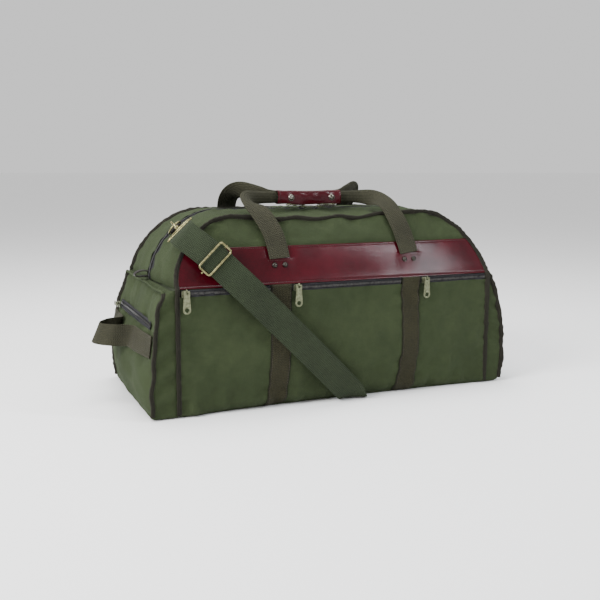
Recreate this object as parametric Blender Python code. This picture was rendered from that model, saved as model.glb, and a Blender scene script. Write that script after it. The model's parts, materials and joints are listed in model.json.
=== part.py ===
"""Duffel bag with a leather band, webbing carry handles and a shoulder strap.

Run with: blender --background --python part.py

Metres, +Z up. X runs along the bag with the left end at -X, the front faces -Y, and the origin
is the middle of the base, on the surface that the bag stands on. Every sub-part is one object.
"""
import math

import bmesh
import bpy
from mathutils import Matrix, Vector

# ---------------------------------------------------------------- driving dimensions
BODY_LENGTH = 0.610          # between the bindings of the front panel
BODY_DEPTH = 0.320
BODY_HEIGHT = 0.331          # top edge of the front and back panels
SHOULDER_HEIGHT = 0.2154     # where both the ends and the panels start to lean in
TOP_LENGTH = 0.380           # straight part of the top edge
TOP_WIDTH = 0.206
TOP_CROWN = 0.006            # the gusset stands this much above the straight line across it
ARCH_POWER = 1.76            # shape of the shoulder seen from the front, 2 is an ellipse
LEAN_POWER = 0.74            # shape of the lean seen from the end, 1 is straight
LOWER_BELLY = 0.012          # how far the stuffed front stands out below the zippers
UPPER_BELLY = 0.012          # and above them
BACK_BELLY = 0.008
BOTTOM_ROUND = 0.026         # radius under the front and back edges, halfway along
CORNER_ROUND = 0.008         # the same radius at the bindings

CLOTH = 0.0025               # lined canvas
LEATHER = 0.0022
PLY_GAP = 0.0048             # from the outer skin in to the panel behind it
GAP = 0.0004                 # clearance between pieces that touch
FLOOR_GAP = 0.0004           # webbing under the bag stays this far off the floor
BINDING_RADIUS = 0.0042
EDGE = BINDING_RADIUS + 0.0005

POCKET_HEIGHT = 0.2146       # end pockets
POCKET_DEPTH = 0.047         # at the floor
POCKET_LEAN = 0.36           # share of that depth lost on the way up
POCKET_CLOSE = 0.021         # depth lost in the round-over at the top
SLACK_DEPTH = 0.036          # at the floor of the corner that sags
SLACK_LEAN = 0.86
SLACK_BELLY = 0.008
POCKET_BELLY = 0.019
POCKET_ROUND = 0.008

ZIP_LINE = 0.2085            # height of the front pocket zippers
ZIP_HEIGHT = 0.0128
END_ZIP_LINE = 0.154
END_SLIDER_Y = 0.115         # closed end of that zipper
MAIN_ZIP_WIDTH = 0.0242
BAND_LOW = 0.2168            # leather band, lower and upper edge
BAND_HIGH = 0.2790

WEBBING = 0.038
WEBBING_THICK = 0.0022
WEBBING_X = 0.1285           # middle of each webbing run
WEBBING_SLANT = 0.0115       # how far the runs drift to the right from the floor to the hinge
STRAP = 0.050
STRAP_THICK = 0.0024
HANDLE_HINGE_Y = 0.1470
HANDLE_HINGE_Z = 0.2592
GRIP_Z = 0.3585
GRIP_Y = -0.0305
GRIP_X = -0.0140             # the grip hangs a little to the left
GRIP_LENGTH = 0.130
GRIP_HEIGHT = 0.0250
GRIP_THICK = 0.0140
LEATHER_PLY = 0.0018

HALF_LENGTH = BODY_LENGTH / 2
HALF_DEPTH = BODY_DEPTH / 2
X_AXIS, Y_AXIS, Z_AXIS = Vector((1, 0, 0)), Vector((0, 1, 0)), Vector((0, 0, 1))


# ---------------------------------------------------------------- scene and materials
def clear_scene():
    for thing in list(bpy.data.objects):
        bpy.data.objects.remove(thing, do_unlink=True)


def material(name, colour, roughness, metallic=0.0):
    made = bpy.data.materials.new(name)
    made.use_nodes = True
    shader = made.node_tree.nodes["Principled BSDF"]
    shader.inputs["Base Color"].default_value = (*colour, 1.0)
    shader.inputs["Roughness"].default_value = roughness
    shader.inputs["Metallic"].default_value = metallic
    made.diffuse_color = (*colour, 1.0)
    return made


def make_materials():
    return {
        "canvas": material("canvas", (0.085, 0.115, 0.060), 0.95),
        "webbing": material("webbing", (0.075, 0.062, 0.040), 0.90),
        "strap_web": material("strap_web", (0.060, 0.080, 0.050), 0.90),
        "binding": material("binding", (0.035, 0.030, 0.022), 0.90),
        "band_leather": material("band_leather", (0.110, 0.010, 0.018), 0.30),
        "dark_leather": material("dark_leather", (0.020, 0.014, 0.012), 0.45),
        "zip_tape": material("zip_tape", (0.045, 0.042, 0.048), 0.80),
        "brass": material("brass", (0.55, 0.50, 0.30), 0.30, 1.0),
        "steel": material("steel", (0.45, 0.43, 0.38), 0.35, 1.0),
        "board": material("board", (0.030, 0.030, 0.030), 0.70),
    }


# ---------------------------------------------------------------- mesh helpers
def add_object(name, mesh, look):
    made = bpy.data.objects.new(name, mesh)
    mesh.materials.append(look)
    bpy.context.scene.collection.objects.link(made)
    return made


def finish_mesh(name, bm, look):
    bmesh.ops.recalc_face_normals(bm, faces=bm.faces)
    mesh = bpy.data.meshes.new(name)
    bm.to_mesh(mesh)
    bm.free()
    mesh.shade_smooth()
    mesh.set_sharp_from_angle(angle=math.radians(40))
    return add_object(name, mesh, look)


def shell(name, outer, inner, look):
    """One closed solid between two grids of the same size, joined around their rims."""
    bm = bmesh.new()
    rows, cols = len(outer), len(outer[0])
    skins = [[[bm.verts.new(point) for point in row] for row in grid] for grid in (outer, inner)]
    for skin in skins:
        for r in range(rows - 1):
            for c in range(cols - 1):
                bm.faces.new((skin[r][c], skin[r][c + 1], skin[r + 1][c + 1], skin[r + 1][c]))
    rim = [(0, c) for c in range(cols)] + [(r, cols - 1) for r in range(1, rows)]
    rim += [(rows - 1, c) for c in range(cols - 2, -1, -1)] + [(r, 0) for r in range(rows - 2, 0, -1)]
    for (r0, c0), (r1, c1) in zip(rim, rim[1:] + rim[:1]):
        bm.faces.new((skins[0][r0][c0], skins[0][r1][c1], skins[1][r1][c1], skins[1][r0][c0]))
    return finish_mesh(name, bm, look)


def grid_normals(grid):
    rows, cols = len(grid), len(grid[0])
    normals = []
    for r in range(rows):
        line = []
        for c in range(cols):
            down = grid[min(r + 1, rows - 1)][c] - grid[max(r - 1, 0)][c]
            across = grid[r][min(c + 1, cols - 1)] - grid[r][max(c - 1, 0)]
            line.append(across.cross(down).normalized())
        normals.append(line)
    return normals


def offset_grid(grid, distance, outward):
    """The grid moved along its normals, which point to the side of the outward vector."""
    normals = grid_normals(grid)
    middle = normals[len(grid) // 2][len(grid[0]) // 2]
    sign = distance if middle.dot(outward) > 0 else -distance
    return [[p + n * sign for p, n in zip(*pair)] for pair in zip(grid, normals)]


def sheet(name, grid, thickness, outward, look, lift=0.0):
    """A sheet whose outer skin is the grid lifted outward, with its thickness behind it."""
    outer = offset_grid(grid, lift, outward) if lift else grid
    return shell(name, outer, offset_grid(grid, lift - thickness, outward), look)


def smooth_route(points, steps):
    """Catmull-Rom curve through the points."""
    ends = [points[0] * 2 - points[1]] + list(points) + [points[-1] * 2 - points[-2]]
    route = []
    for i in range(1, len(ends) - 2):
        before, start, end, after = ends[i - 1:i + 3]
        for step in range(steps):
            t = step / steps
            route.append(0.5 * (2 * start + (end - before) * t
                                + (2 * before - 5 * start + 4 * end - after) * t * t
                                + (3 * start - before - 3 * end + after) * t ** 3))
    return route + [points[-1].copy()]


def ribbon(name, route, hints, widths, thickness, look):
    """Flat webbing: at each point of the route it is as wide as stated, along its hint."""
    outer, inner = [], []
    last = len(route) - 1
    for i, point in enumerate(route):
        along = (route[min(i + 1, last)] - route[max(i - 1, 0)]).normalized()
        side = (hints[i] - along * hints[i].dot(along)).normalized()
        face = along.cross(side)
        left, right = point - side * widths[i] / 2, point + side * widths[i] / 2
        pair = [[left + face * thickness / 2, right + face * thickness / 2],
                [left - face * thickness / 2, right - face * thickness / 2]]
        for layer, row in enumerate(pair):
            lowest = FLOOR_GAP + (thickness if (face.z > 0) == (layer == 0) else 0.0)
            for corner in row:
                corner.z = max(corner.z, lowest)
        outer.append(pair[0])
        inner.append(pair[1])
    return shell(name, outer, inner, look)


def tube(name, points, radius, look, closed=False, sides=1):
    """Round wire or piping: a bevelled curve with filled caps."""
    curve = bpy.data.curves.new(name, "CURVE")
    curve.dimensions = "3D"
    curve.bevel_depth = radius
    curve.bevel_resolution = sides
    curve.use_fill_caps = True
    spline = curve.splines.new("POLY")
    spline.points.add(len(points) - 1)
    for slot, point in zip(spline.points, points):
        slot.co = (*point, 1.0)
    spline.use_cyclic_u = closed
    made = bpy.data.objects.new(name, curve)
    curve.materials.append(look)
    bpy.context.scene.collection.objects.link(made)
    return made


def prism(name, outline, depth, place, look):
    """A flat outline (u, v) raised by depth along w, put in place by a matrix of u, v, w axes."""
    bm = bmesh.new()
    low = [bm.verts.new(place @ Vector((u, v, 0))) for u, v in outline]
    high = [bm.verts.new(place @ Vector((u, v, depth))) for u, v in outline]
    bm.faces.new(low)
    bm.faces.new(high)
    for i in range(len(outline)):
        j = (i + 1) % len(outline)
        bm.faces.new((low[i], low[j], high[j], high[i]))
    return finish_mesh(name, bm, look)


def frame_at(origin, u, v, w):
    place = Matrix((u, v, w)).transposed().to_4x4()
    place.translation = origin
    return place


def rounded_outline(width, height, radius, corner_steps=4):
    """Rectangle with round corners, centred."""
    outline = []
    centres = [(1, 1, 0), (-1, 1, 90), (-1, -1, 180), (1, -1, 270)]
    for sx, sy, start in centres:
        for step in range(corner_steps + 1):
            angle = math.radians(start + 90 * step / corner_steps)
            outline.append((sx * (width / 2 - radius) + radius * math.cos(angle),
                            sy * (height / 2 - radius) + radius * math.sin(angle)))
    return outline


def set_pivot(name, point, parent=None):
    """Puts a moving piece's origin on its joint, with the piece itself staying where it is."""
    thing = bpy.data.objects[name]
    thing.data.transform(Matrix.Translation(-Vector(point)))
    thing.location = Vector(point)
    if parent:
        thing.parent = bpy.data.objects[parent]
        thing.location = Vector(point) - thing.parent.location


def cut(target, cutter):
    """Subtracts the cutter, which stays as a hidden guide."""
    change = target.modifiers.new("cut_" + cutter.name, "BOOLEAN")
    change.operation = "DIFFERENCE"
    change.solver = "EXACT"
    change.object = cutter
    cutter.hide_render = True
    cutter.display_type = "WIRE"


# ---------------------------------------------------------------- shape of the bag
def rise(z):
    return min(max((z - SHOULDER_HEIGHT) / (BODY_HEIGHT - SHOULDER_HEIGHT), 0.0), 1.0)


def half_length(z):
    """Half the length of the front panel at a height."""
    shoulder = HALF_LENGTH - TOP_LENGTH / 2
    return TOP_LENGTH / 2 + shoulder * (1 - rise(z) ** ARCH_POWER) ** (1 / ARCH_POWER)


def half_depth(z):
    """Half the depth between the panels' edges at a height."""
    return HALF_DEPTH - (HALF_DEPTH - TOP_WIDTH / 2) * rise(z) ** LEAN_POWER


def panel_depth(x, z, lower_belly, inset=0.0):
    """Distance of a front or back panel from the bag's middle plane, with its belly and round foot."""
    across = 1 - (x / half_length(z)) ** 4
    if z < ZIP_LINE:
        belly = lower_belly * math.sin(math.pi * z / ZIP_LINE) ** 2
    else:
        belly = UPPER_BELLY * math.sin(math.pi * (z - ZIP_LINE) / (BODY_HEIGHT - ZIP_LINE))
    foot = CORNER_ROUND + (BOTTOM_ROUND - CORNER_ROUND) * across - inset
    height = z - inset
    under = foot - math.sqrt(max(foot ** 2 - (foot - height) ** 2, 0.0)) if height < foot else 0.0
    return half_depth(z) + belly * across - inset - under


def inner_reach(z):
    """Half the length of a panel at a height, kept clear of its binding."""
    line = [(p.x - n.x * EDGE, p.z - n.z * EDGE) for p, n in arch_points(24, 3) if p.x > 0]
    for (x0, z0), (x1, z1) in zip(line, line[1:]):
        if z1 <= z <= z0 and z0 > z1:
            return x1 + (x0 - x1) * (z - z1) / (z0 - z1)
    return HALF_LENGTH - EDGE if z < SHOULDER_HEIGHT else TOP_LENGTH / 2


def panel_grid(side, lower_belly, heights, x_range=None, columns=11, inset=0.0):
    """Points of a panel: side is -1 for the front and +1 for the back."""
    grid = []
    for z in heights:
        reach = inner_reach(z)
        low, high = x_range if x_range else (-reach, reach)
        row = []
        for i in range(columns):
            x = low + (high - low) * i / (columns - 1)
            row.append(Vector((x, side * panel_depth(x, z, lower_belly, inset), z)))
        grid.append(row)
    return grid


def spread(low, high, count):
    return [low + (high - low) * i / (count - 1) for i in range(count)]


def arch_points(curve_steps=9, top_steps=7):
    """The bag's outline over the top, left to right: (x, z, outward normal)."""
    power = 2 / ARCH_POWER
    shoulder, lift = HALF_LENGTH - TOP_LENGTH / 2, BODY_HEIGHT - SHOULDER_HEIGHT
    quarter = []
    for i in range(curve_steps + 1):
        angle = math.radians(90 * i / curve_steps)
        quarter.append((TOP_LENGTH / 2 + shoulder * math.cos(angle) ** power,
                        SHOULDER_HEIGHT + lift * math.sin(angle) ** power))
    flat = [(x, BODY_HEIGHT) for x in spread(-TOP_LENGTH / 2, TOP_LENGTH / 2, top_steps)[1:-1]]
    points = [(-x, z) for x, z in quarter] + flat + quarter[::-1]
    line = []
    for i, (x, z) in enumerate(points):
        x0, z0 = points[max(i - 1, 0)]
        x1, z1 = points[min(i + 1, len(points) - 1)]
        line.append((Vector((x, 0, z)), Vector((z0 - z1, 0, x1 - x0)).normalized()))
    return line


def gusset_grid(low, high, columns, scaled=True):
    """Gusset surface between two depths; scaled depths are fractions of the half depth."""
    grid = []
    for point, normal in arch_points():
        reach = half_depth(point.z) - EDGE
        row = []
        for part in spread(0, 1, columns):
            y = (low + (high - low) * part) if not scaled else 0.0
            if scaled:
                inner = math.copysign(MAIN_ZIP_WIDTH / 2 + GAP, high)
                y = inner + (math.copysign(reach, high) - inner) * part
            crown = TOP_CROWN * (1 - (y / reach) ** 2)
            row.append(point + normal * crown + Y_AXIS * y)
        grid.append(row)
    return grid


# ---------------------------------------------------------------- body
STRAP_GROOVE = (Vector((0.028, -0.140, 0)), Vector((0.120, 0.140, 0)))


def base_outline(margin):
    """Outline of the base: a margin inside the lower edges of the front and back panels."""
    front, back = [], []
    for x in spread(-HALF_LENGTH + 0.009 + margin / 2, HALF_LENGTH - 0.009 - margin / 2, 11):
        front.append((x, -panel_depth(x, 0.0036, LOWER_BELLY) + 0.0030 + margin))
        back.append((x, panel_depth(x, 0.0036, BACK_BELLY) - 0.0030 - margin))
    return front + back[::-1]


def make_base(looks):
    high = 0.005
    base = prism("base_panel", base_outline(0.0), high, frame_at(Vector(), X_AXIS, Y_AXIS, Z_AXIS),
                 looks["canvas"])
    start, end = STRAP_GROOVE
    along = (end - start).normalized()
    groove = prism("strap_groove", [(-0.3, -STRAP / 2 - 0.0015), (0.3, -STRAP / 2 - 0.0015),
                                    (0.3, STRAP / 2 + 0.0015), (-0.3, STRAP / 2 + 0.0015)],
                   0.0032 + 0.01,
                   frame_at((start + end) / 2 - Z_AXIS * 0.01, along, Z_AXIS.cross(along), Z_AXIS),
                   looks["canvas"])
    cut(base, groove)
    prism("base_board", base_outline(0.010), 0.0030,
          frame_at(Vector((0, 0, high + GAP)), X_AXIS, Y_AXIS, Z_AXIS), looks["board"])


BAND_ROWS = [0.2200, 0.2270, 0.2400, 0.2595, BAND_HIGH]


def make_panels(looks):
    foot = [0.0036, 0.0060, 0.0095, 0.0140, 0.0200]
    lower = foot + spread(0.028, ZIP_LINE - ZIP_HEIGHT / 2 - 0.0006, 9)
    upper = [ZIP_LINE + ZIP_HEIGHT / 2 + 0.0006, BAND_LOW, *BAND_ROWS, 0.3010, BODY_HEIGHT - EDGE]
    full = [z + PLY_GAP + 0.0005 for z in foot] + lower[5:] + [ZIP_LINE] + upper
    sheet("front_pocket_panel", panel_grid(-1, LOWER_BELLY, lower), CLOTH, -Y_AXIS, looks["canvas"])
    sheet("front_panel", panel_grid(-1, LOWER_BELLY, full, inset=PLY_GAP), CLOTH, -Y_AXIS, looks["canvas"])
    back = lower + [ZIP_LINE] + upper
    sheet("back_panel", panel_grid(1, BACK_BELLY, back), CLOTH, Y_AXIS, looks["canvas"])
    band = panel_grid(-1, LOWER_BELLY, [BAND_LOW, *BAND_ROWS])
    sheet("leather_band", band, LEATHER, -Y_AXIS, looks["band_leather"])
    for side, name in ((-1, "left"), (1, "right")):
        across = spread(-HALF_DEPTH + EDGE, HALF_DEPTH - EDGE, 5)
        grid = [[Vector((side * HALF_LENGTH, y, z)) for y in across]
                for z in spread(0.0055, SHOULDER_HEIGHT - 0.001, 5)]
        sheet(name + "_end_panel", grid, CLOTH, X_AXIS * side, looks["canvas"])


def make_gusset(looks):
    for side, name in ((-1, "front"), (1, "back")):
        sheet("top_gusset_" + name, gusset_grid(0, side, 5), CLOTH, Z_AXIS, looks["canvas"])
    half = MAIN_ZIP_WIDTH / 2
    sheet("main_zipper", gusset_grid(-half, half, 3, scaled=False), 0.0018, Z_AXIS, looks["zip_tape"])


def make_bindings(looks):
    for side, name in ((-1, "front"), (1, "back")):
        arch = [point + Y_AXIS * side * half_depth(point.z) for point, _ in arch_points(9, 5)]
        legs = [[Vector((end * HALF_LENGTH, side * HALF_DEPTH, z)) for z in spread(0.006, 0.19, 5)]
                for end in (-1, 1)]
        tube(name + "_binding", legs[0] + arch + legs[1][::-1], BINDING_RADIUS, looks["binding"])


# ---------------------------------------------------------------- end pockets
def pocket_depth(z, turn=-1.0):
    """How far an end pocket stands out at a height, from its full corner (turn -1) to its slack one (1)."""
    up = z / POCKET_HEIGHT
    full = POCKET_DEPTH * (1 - POCKET_LEAN * up ** 1.5) - POCKET_CLOSE * up ** 20
    slack = SLACK_DEPTH * (1 - SLACK_LEAN * up ** 2.2) + SLACK_BELLY * math.sin(math.pi * up)
    return full + (slack - full) * (turn + 1) / 2


def pocket_belly(y, z):
    low = min(z / END_ZIP_LINE, 1.0)
    return POCKET_BELLY * math.sin(math.pi * low) * (1 - (y / HALF_DEPTH) ** 2)


def pocket_face(side, y, z):
    """Distance of the pocket's outer face from the end panel."""
    return pocket_depth(z, -side * y / HALF_DEPTH) + pocket_belly(y, z)


def pocket_row(side, depth_at, z, wall):
    """One horizontal U around the pocket, from the front wall over the face to the back wall."""
    ends = []
    for way in (-1, 1):
        depth = depth_at(-side * way)
        half = HALF_DEPTH - 0.008 * (1 - min(depth / 0.012, 1.0)) - wall
        reach = depth - wall
        corner = min(POCKET_ROUND, reach * 0.4)
        root = min(EDGE + 0.0004, reach * 0.5)
        walls = [(root, half), ((root + reach - corner) / 2, half)]
        walls += [(reach - corner + corner * math.sin(math.radians(a)),
                   half - corner + corner * math.cos(math.radians(a))) for a in (0, 30, 60, 90)]
        ends.append(([(d, way * y) for d, y in walls], half - corner))
    (front, low), (back, high) = ends
    middle = [(depth_at(-side * y / HALF_DEPTH) - wall + pocket_belly(y, z), y)
              for y in spread(-low, high, 8)[1:-1]]
    outline = front + middle + back[::-1]
    return [Vector((side * (HALF_LENGTH + GAP + d), y, z)) for d, y in outline]


def make_end_pockets(looks):
    heights = spread(0.006, END_ZIP_LINE, 7) + spread(0.170, POCKET_HEIGHT, 5)
    for side, name in ((-1, "left"), (1, "right")):
        def hem(turn):
            return 0.004

        def foot(turn):
            return pocket_depth(0.0, turn) - 0.005
        outer = [pocket_row(side, hem, 0.0010, 0), pocket_row(side, foot, 0.0010, 0)]
        inner = [pocket_row(side, hem, 0.0032, 0.0018), pocket_row(side, foot, 0.0032, 0.0022)]
        for z in heights:
            def level(turn, z=z):
                return pocket_depth(z, turn)
            outer.append(pocket_row(side, level, z, 0))
            inner.append(pocket_row(side, level, max(z, 0.0064), 0.0022))
        shell(name + "_end_pocket", outer, inner, looks["canvas"])
        lift = 0.0012
        legs = []
        for way in (-1, 1):
            legs.append([Vector((side * (HALF_LENGTH + pocket_depth(z, -side * way) + lift),
                                 way * (HALF_DEPTH + lift), z)) for z in spread(0.008, 0.200, 8)])
        top = []
        for y in (-HALF_DEPTH + 0.004, -0.08, 0.0, 0.08, HALF_DEPTH - 0.004):
            crest = HALF_LENGTH + pocket_depth(0.208, -side * y / HALF_DEPTH) + 0.0050
            top.append(Vector((side * crest, y, 0.2115)))
        tube(name + "_pocket_binding", legs[0] + top + legs[1][::-1], 0.0036, looks["binding"])


# ---------------------------------------------------------------- webbing, rivets and grab handles
def webbing_x(end, z):
    return end * WEBBING_X - 0.0025 + WEBBING_SLANT * z / HANDLE_HINGE_Z


def make_webbing(looks):
    heights = [0.0060, 0.0095, 0.0140, 0.0200] + spread(0.028, ZIP_LINE - 0.0070, 9)
    for side, panel, belly in ((-1, "front", LOWER_BELLY), (1, "back", BACK_BELLY)):
        rows = heights + ([ZIP_LINE, 0.2148] if side < 0 else [ZIP_LINE, 0.2155, HANDLE_HINGE_Z - 0.022])
        for end, name in ((-1, "left"), (1, "right")):
            grid = []
            for z in rows:
                row = [webbing_x(end, z) + part * WEBBING / 2 for part in (-1, 0, 1)]
                grid.append([Vector((x, side * panel_depth(x, z, belly), z)) for x in row])
            sheet(f"{panel}_webbing_{name}", grid, WEBBING_THICK, Y_AXIS * side, looks["webbing"],
                  lift=WEBBING_THICK + GAP)
            if side < 0:
                make_rivets(name, webbing_x(end, HANDLE_HINGE_Z - 0.012), looks)


def dome_pair(name, centre, across, up, out, spacing, radius, height, looks):
    """Two domed heads joined by a thin strip that lies on the surface."""
    bm = bmesh.new()
    strip = rounded_outline(spacing, radius * 0.7, radius * 0.3, 2)
    low = [bm.verts.new(centre + across * u + up * v) for u, v in strip]
    high = [bm.verts.new(v.co + out * 0.0006) for v in low]
    bm.faces.new(low)
    bm.faces.new(high)
    for i in range(len(strip)):
        j = (i + 1) % len(strip)
        bm.faces.new((low[i], low[j], high[j], high[i]))
    made = finish_mesh(name, bm, looks)
    for sign in (-1, 1):
        dome = bmesh.new()
        foot = centre + across * sign * spacing / 2 - out * 0.00012
        rings = []
        for level in range(4):
            angle = math.radians(90 * level / 4)
            rings.append([dome.verts.new(foot + across * radius * math.cos(angle) * math.cos(turn)
                                         + up * radius * math.cos(angle) * math.sin(turn)
                                         + out * height * math.sin(angle))
                          for turn in [math.tau * (k + 0.37) / 12 for k in range(12)]])
        tip = dome.verts.new(foot + out * height)
        for ring, above in zip(rings, rings[1:]):
            for k in range(12):
                dome.faces.new((ring[k], ring[k - 11], above[k - 11], above[k]))
        for k in range(12):
            dome.faces.new((rings[-1][k], rings[-1][k - 11], tip))
        dome.faces.new(rings[0])
        side = "left" if sign < 0 else "right"
        head = finish_mesh(f"{name}_{side}_head", dome, looks)
        head.hide_render = True
        head.display_type = "WIRE"
        join = made.modifiers.new("join_" + side, "BOOLEAN")
        join.operation = "UNION"
        join.solver = "EXACT"
        join.object = head
    return made


def surface_frame(x, z, side, belly):
    """Point and axes on a panel: across along X, up along the surface, out away from it."""
    here = Vector((x, side * panel_depth(x, z, belly), z))
    above = Vector((x, side * panel_depth(x, z + 0.002, belly), z + 0.002))
    up = (above - here).normalized()
    out = X_AXIS.cross(up) if side < 0 else up.cross(X_AXIS)
    return here, up, out


def make_rivets(name, x, looks):
    here, up, out = surface_frame(x, HANDLE_HINGE_Z - 0.012, -1, LOWER_BELLY)
    dome_pair("front_rivets_" + name, here + out * GAP, X_AXIS, up, out, 0.0195, 0.0042, 0.0026,
              looks["steel"])


def make_grab_handles(looks):
    height = 0.122
    for side, name in ((-1, "left"), (1, "right")):
        def on_face(y, lift):
            return Vector((side * (HALF_LENGTH + GAP + pocket_face(side, y, height) + lift), y, height))
        lift = WEBBING_THICK / 2 + 0.0020
        points = [on_face(y, lift) for y in (-0.149, -0.125, -0.095, -0.065, -0.042)]
        points += [on_face(-0.032, 0.010), on_face(-0.022, 0.031), on_face(0.0, 0.049),
                   on_face(0.022, 0.050), on_face(0.042, 0.033), on_face(0.051, 0.011)]
        points += [on_face(y, lift) for y in (0.062, 0.085, 0.105, 0.127, 0.149)]
        route = smooth_route(points, 3)
        tilts = []
        for p in route:
            lean = pocket_face(side, p.y, height + 0.018) - pocket_face(side, p.y, height - 0.018)
            tilts.append(Vector((side * lean, 0, 0.036)))
        ribbon(name + "_grab_handle", route, tilts, [WEBBING] * len(route), WEBBING_THICK, looks["webbing"])


# ---------------------------------------------------------------- zippers
def slider_profile(length, height):
    return [(-length / 2, 0), (length / 2, 0), (length / 2, height * 0.5), (length * 0.3, height * 0.6),
            (length * 0.2, height), (-length * 0.2, height), (-length * 0.3, height * 0.6),
            (-length / 2, height * 0.5)]


def make_slider(name, place, looks, length=0.014, height=0.0058, width=0.0105):
    """Slider body: its side profile runs along u and out along v, and it is as wide as w."""
    return prism(name, slider_profile(length, height), width, place, looks["brass"])


def make_pull(name, place, looks, length=0.038):
    """Pull tab: a long plate, wider at its round free end, with a round hole there."""
    narrow, wide = 0.0040, 0.0066
    outline = [(-narrow, 0.004), (-narrow * 0.6, 0.0055), (narrow * 0.6, 0.0055), (narrow, 0.004)]
    for step in range(7):
        angle = math.radians(-180 * step / 6)
        outline.append((wide * math.cos(angle), -length + wide + 0.0055 + wide * math.sin(angle)))
    plate = prism(name, outline[::-1], 0.0018, place, looks["brass"])
    hole = [(0.0030 * math.cos(a), -length + wide + 0.0055 + 0.0030 * math.sin(a))
            for a in [math.tau * k / 12 for k in range(12)]]
    punch = prism(name + "_hole", hole, 0.01, place @ Matrix.Translation((0, 0, -0.004)), looks["brass"])
    cut(plate, punch)
    return plate


FRONT_ZIPS = {"left": (-0.2985, -0.1434, -0.2920), "center": (-0.1004, 0.1140, -0.0930),
              "right": (0.1568, 0.2985, 0.1642)}


def make_front_zippers(looks):
    low, high = ZIP_LINE - ZIP_HEIGHT / 2, ZIP_LINE + ZIP_HEIGHT / 2
    for name, (start, end, slider_x) in FRONT_ZIPS.items():
        grid = panel_grid(-1, LOWER_BELLY, [low, ZIP_LINE, high], (start, end), columns=5)
        sheet("front_zipper_" + name, grid, 0.0018, -Y_AXIS, looks["zip_tape"], lift=-0.0006)
        fullest = min(abs(slider_x), 0.155)
        skin = -panel_depth(fullest, ZIP_LINE + 0.0056, LOWER_BELLY)
        make_slider("front_slider_" + name,
                    frame_at(Vector((slider_x, skin - GAP, ZIP_LINE - 0.00525)), X_AXIS, -Y_AXIS, Z_AXIS),
                    looks)
        make_pull("front_pull_" + name,
                  frame_at(Vector((slider_x, skin - 0.0067, ZIP_LINE)), X_AXIS, Z_AXIS, -Y_AXIS), looks)
        set_pivot("front_slider_" + name, (slider_x, skin, ZIP_LINE))
        set_pivot("front_pull_" + name, (slider_x, skin - 0.0076, ZIP_LINE + 0.0050), "front_slider_" + name)


MAIN_SLIDERS = {"left": (-0.012, -1), "right": (0.026, 1)}


def make_main_sliders(looks):
    top = BODY_HEIGHT + TOP_CROWN
    for name, (x, side) in MAIN_SLIDERS.items():
        make_slider("main_slider_" + name,
                    frame_at(Vector((x, 0.00525, top + GAP)), X_AXIS, Z_AXIS, -Y_AXIS), looks, height=0.0040)
        place = frame_at(Vector((x + side * 0.003, 0, top + 0.0047)), -Y_AXIS * side, -X_AXIS * side, Z_AXIS)
        make_pull("main_pull_" + name, place, looks, length=0.036)
        set_pivot("main_slider_" + name, (x, 0, top))
        set_pivot("main_pull_" + name, (x - side * 0.0020, 0, top + 0.0056), "main_slider_" + name)


def make_end_zippers(looks):
    for side, name in ((-1, "left"), (1, "right")):
        grid = []
        for z in spread(END_ZIP_LINE - 0.0055, END_ZIP_LINE + 0.0055, 3):
            grid.append([Vector((side * (HALF_LENGTH + GAP + pocket_face(side, y, z)), y, z))
                         for y in spread(-0.128, 0.128, 7)])
        sheet(name + "_end_zipper", grid, 0.0018, X_AXIS * side, looks["zip_tape"], lift=0.0018 + 0.0008)
        x = side * (HALF_LENGTH + pocket_face(side, END_SLIDER_Y, END_ZIP_LINE - 0.0055) + 0.0048)
        place = frame_at(Vector((x, END_SLIDER_Y, END_ZIP_LINE - 0.0052)), Y_AXIS, X_AXIS * side, Z_AXIS)
        make_slider(name + "_end_slider", place, looks, height=0.0052)
        set_pivot(name + "_end_slider", (x, END_SLIDER_Y, END_ZIP_LINE))


def make_zip_end_tabs(looks):
    for side, name in ((-1, "left"), (1, "right")):
        loop = [(0.0085, 0.2290), (0.0160, 0.2305), (0.0250, 0.2295), (0.0320, 0.2255), (0.0310, 0.2212),
                (0.0240, 0.2200), (0.0160, 0.2204), (0.0092, 0.2212)]
        points = [Vector((side * (HALF_LENGTH + out), 0, z)) for out, z in loop]
        route = smooth_route(points, 3)
        ribbon(name + "_zip_end_tab", route, [Y_AXIS] * len(route), [0.014] * len(route), 0.0016,
               looks["dark_leather"])


# ---------------------------------------------------------------- carry handles
def blend_hints(start, end, first, last, count):
    """Width directions: start up to one index, end from another, turning between them."""
    hints = []
    for i in range(count):
        part = min(max((i - first) / (last - first), 0.0), 1.0)
        part = part * part * (3 - 2 * part)
        hints.append((start * (1 - part) + end * part).normalized())
    return hints


def make_handle(name, half_points, drift, grip_side, looks):
    """A webbing loop: flat on the bag at both ends, folded to a narrow bundle at the grip."""
    steps = 3
    left = [Vector((x + dx, y, z)) for (x, y, z), dx in zip(half_points, drift)]
    right = [Vector((-x + dx, y, z)) for (x, y, z), dx in zip(half_points, drift)]
    route = smooth_route(left + right[-2::-1], steps)
    count = (len(left) - 1) * steps + 1
    first, last = 3 * steps, count - 1 - 3 * steps
    hints = blend_hints(X_AXIS, grip_side, first, last, count)
    widths = []
    for i in range(count):
        part = min(max((i - first) / (last - first), 0.0), 1.0)
        widths.append(WEBBING + (0.0195 - WEBBING) * part)
    flipped = [Vector((-h.x, h.y, h.z)) for h in hints[-2::-1]]
    return ribbon(name, route, hints + flipped, widths + widths[-2::-1], WEBBING_THICK + 0.0006,
                  looks["webbing"])


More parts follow.
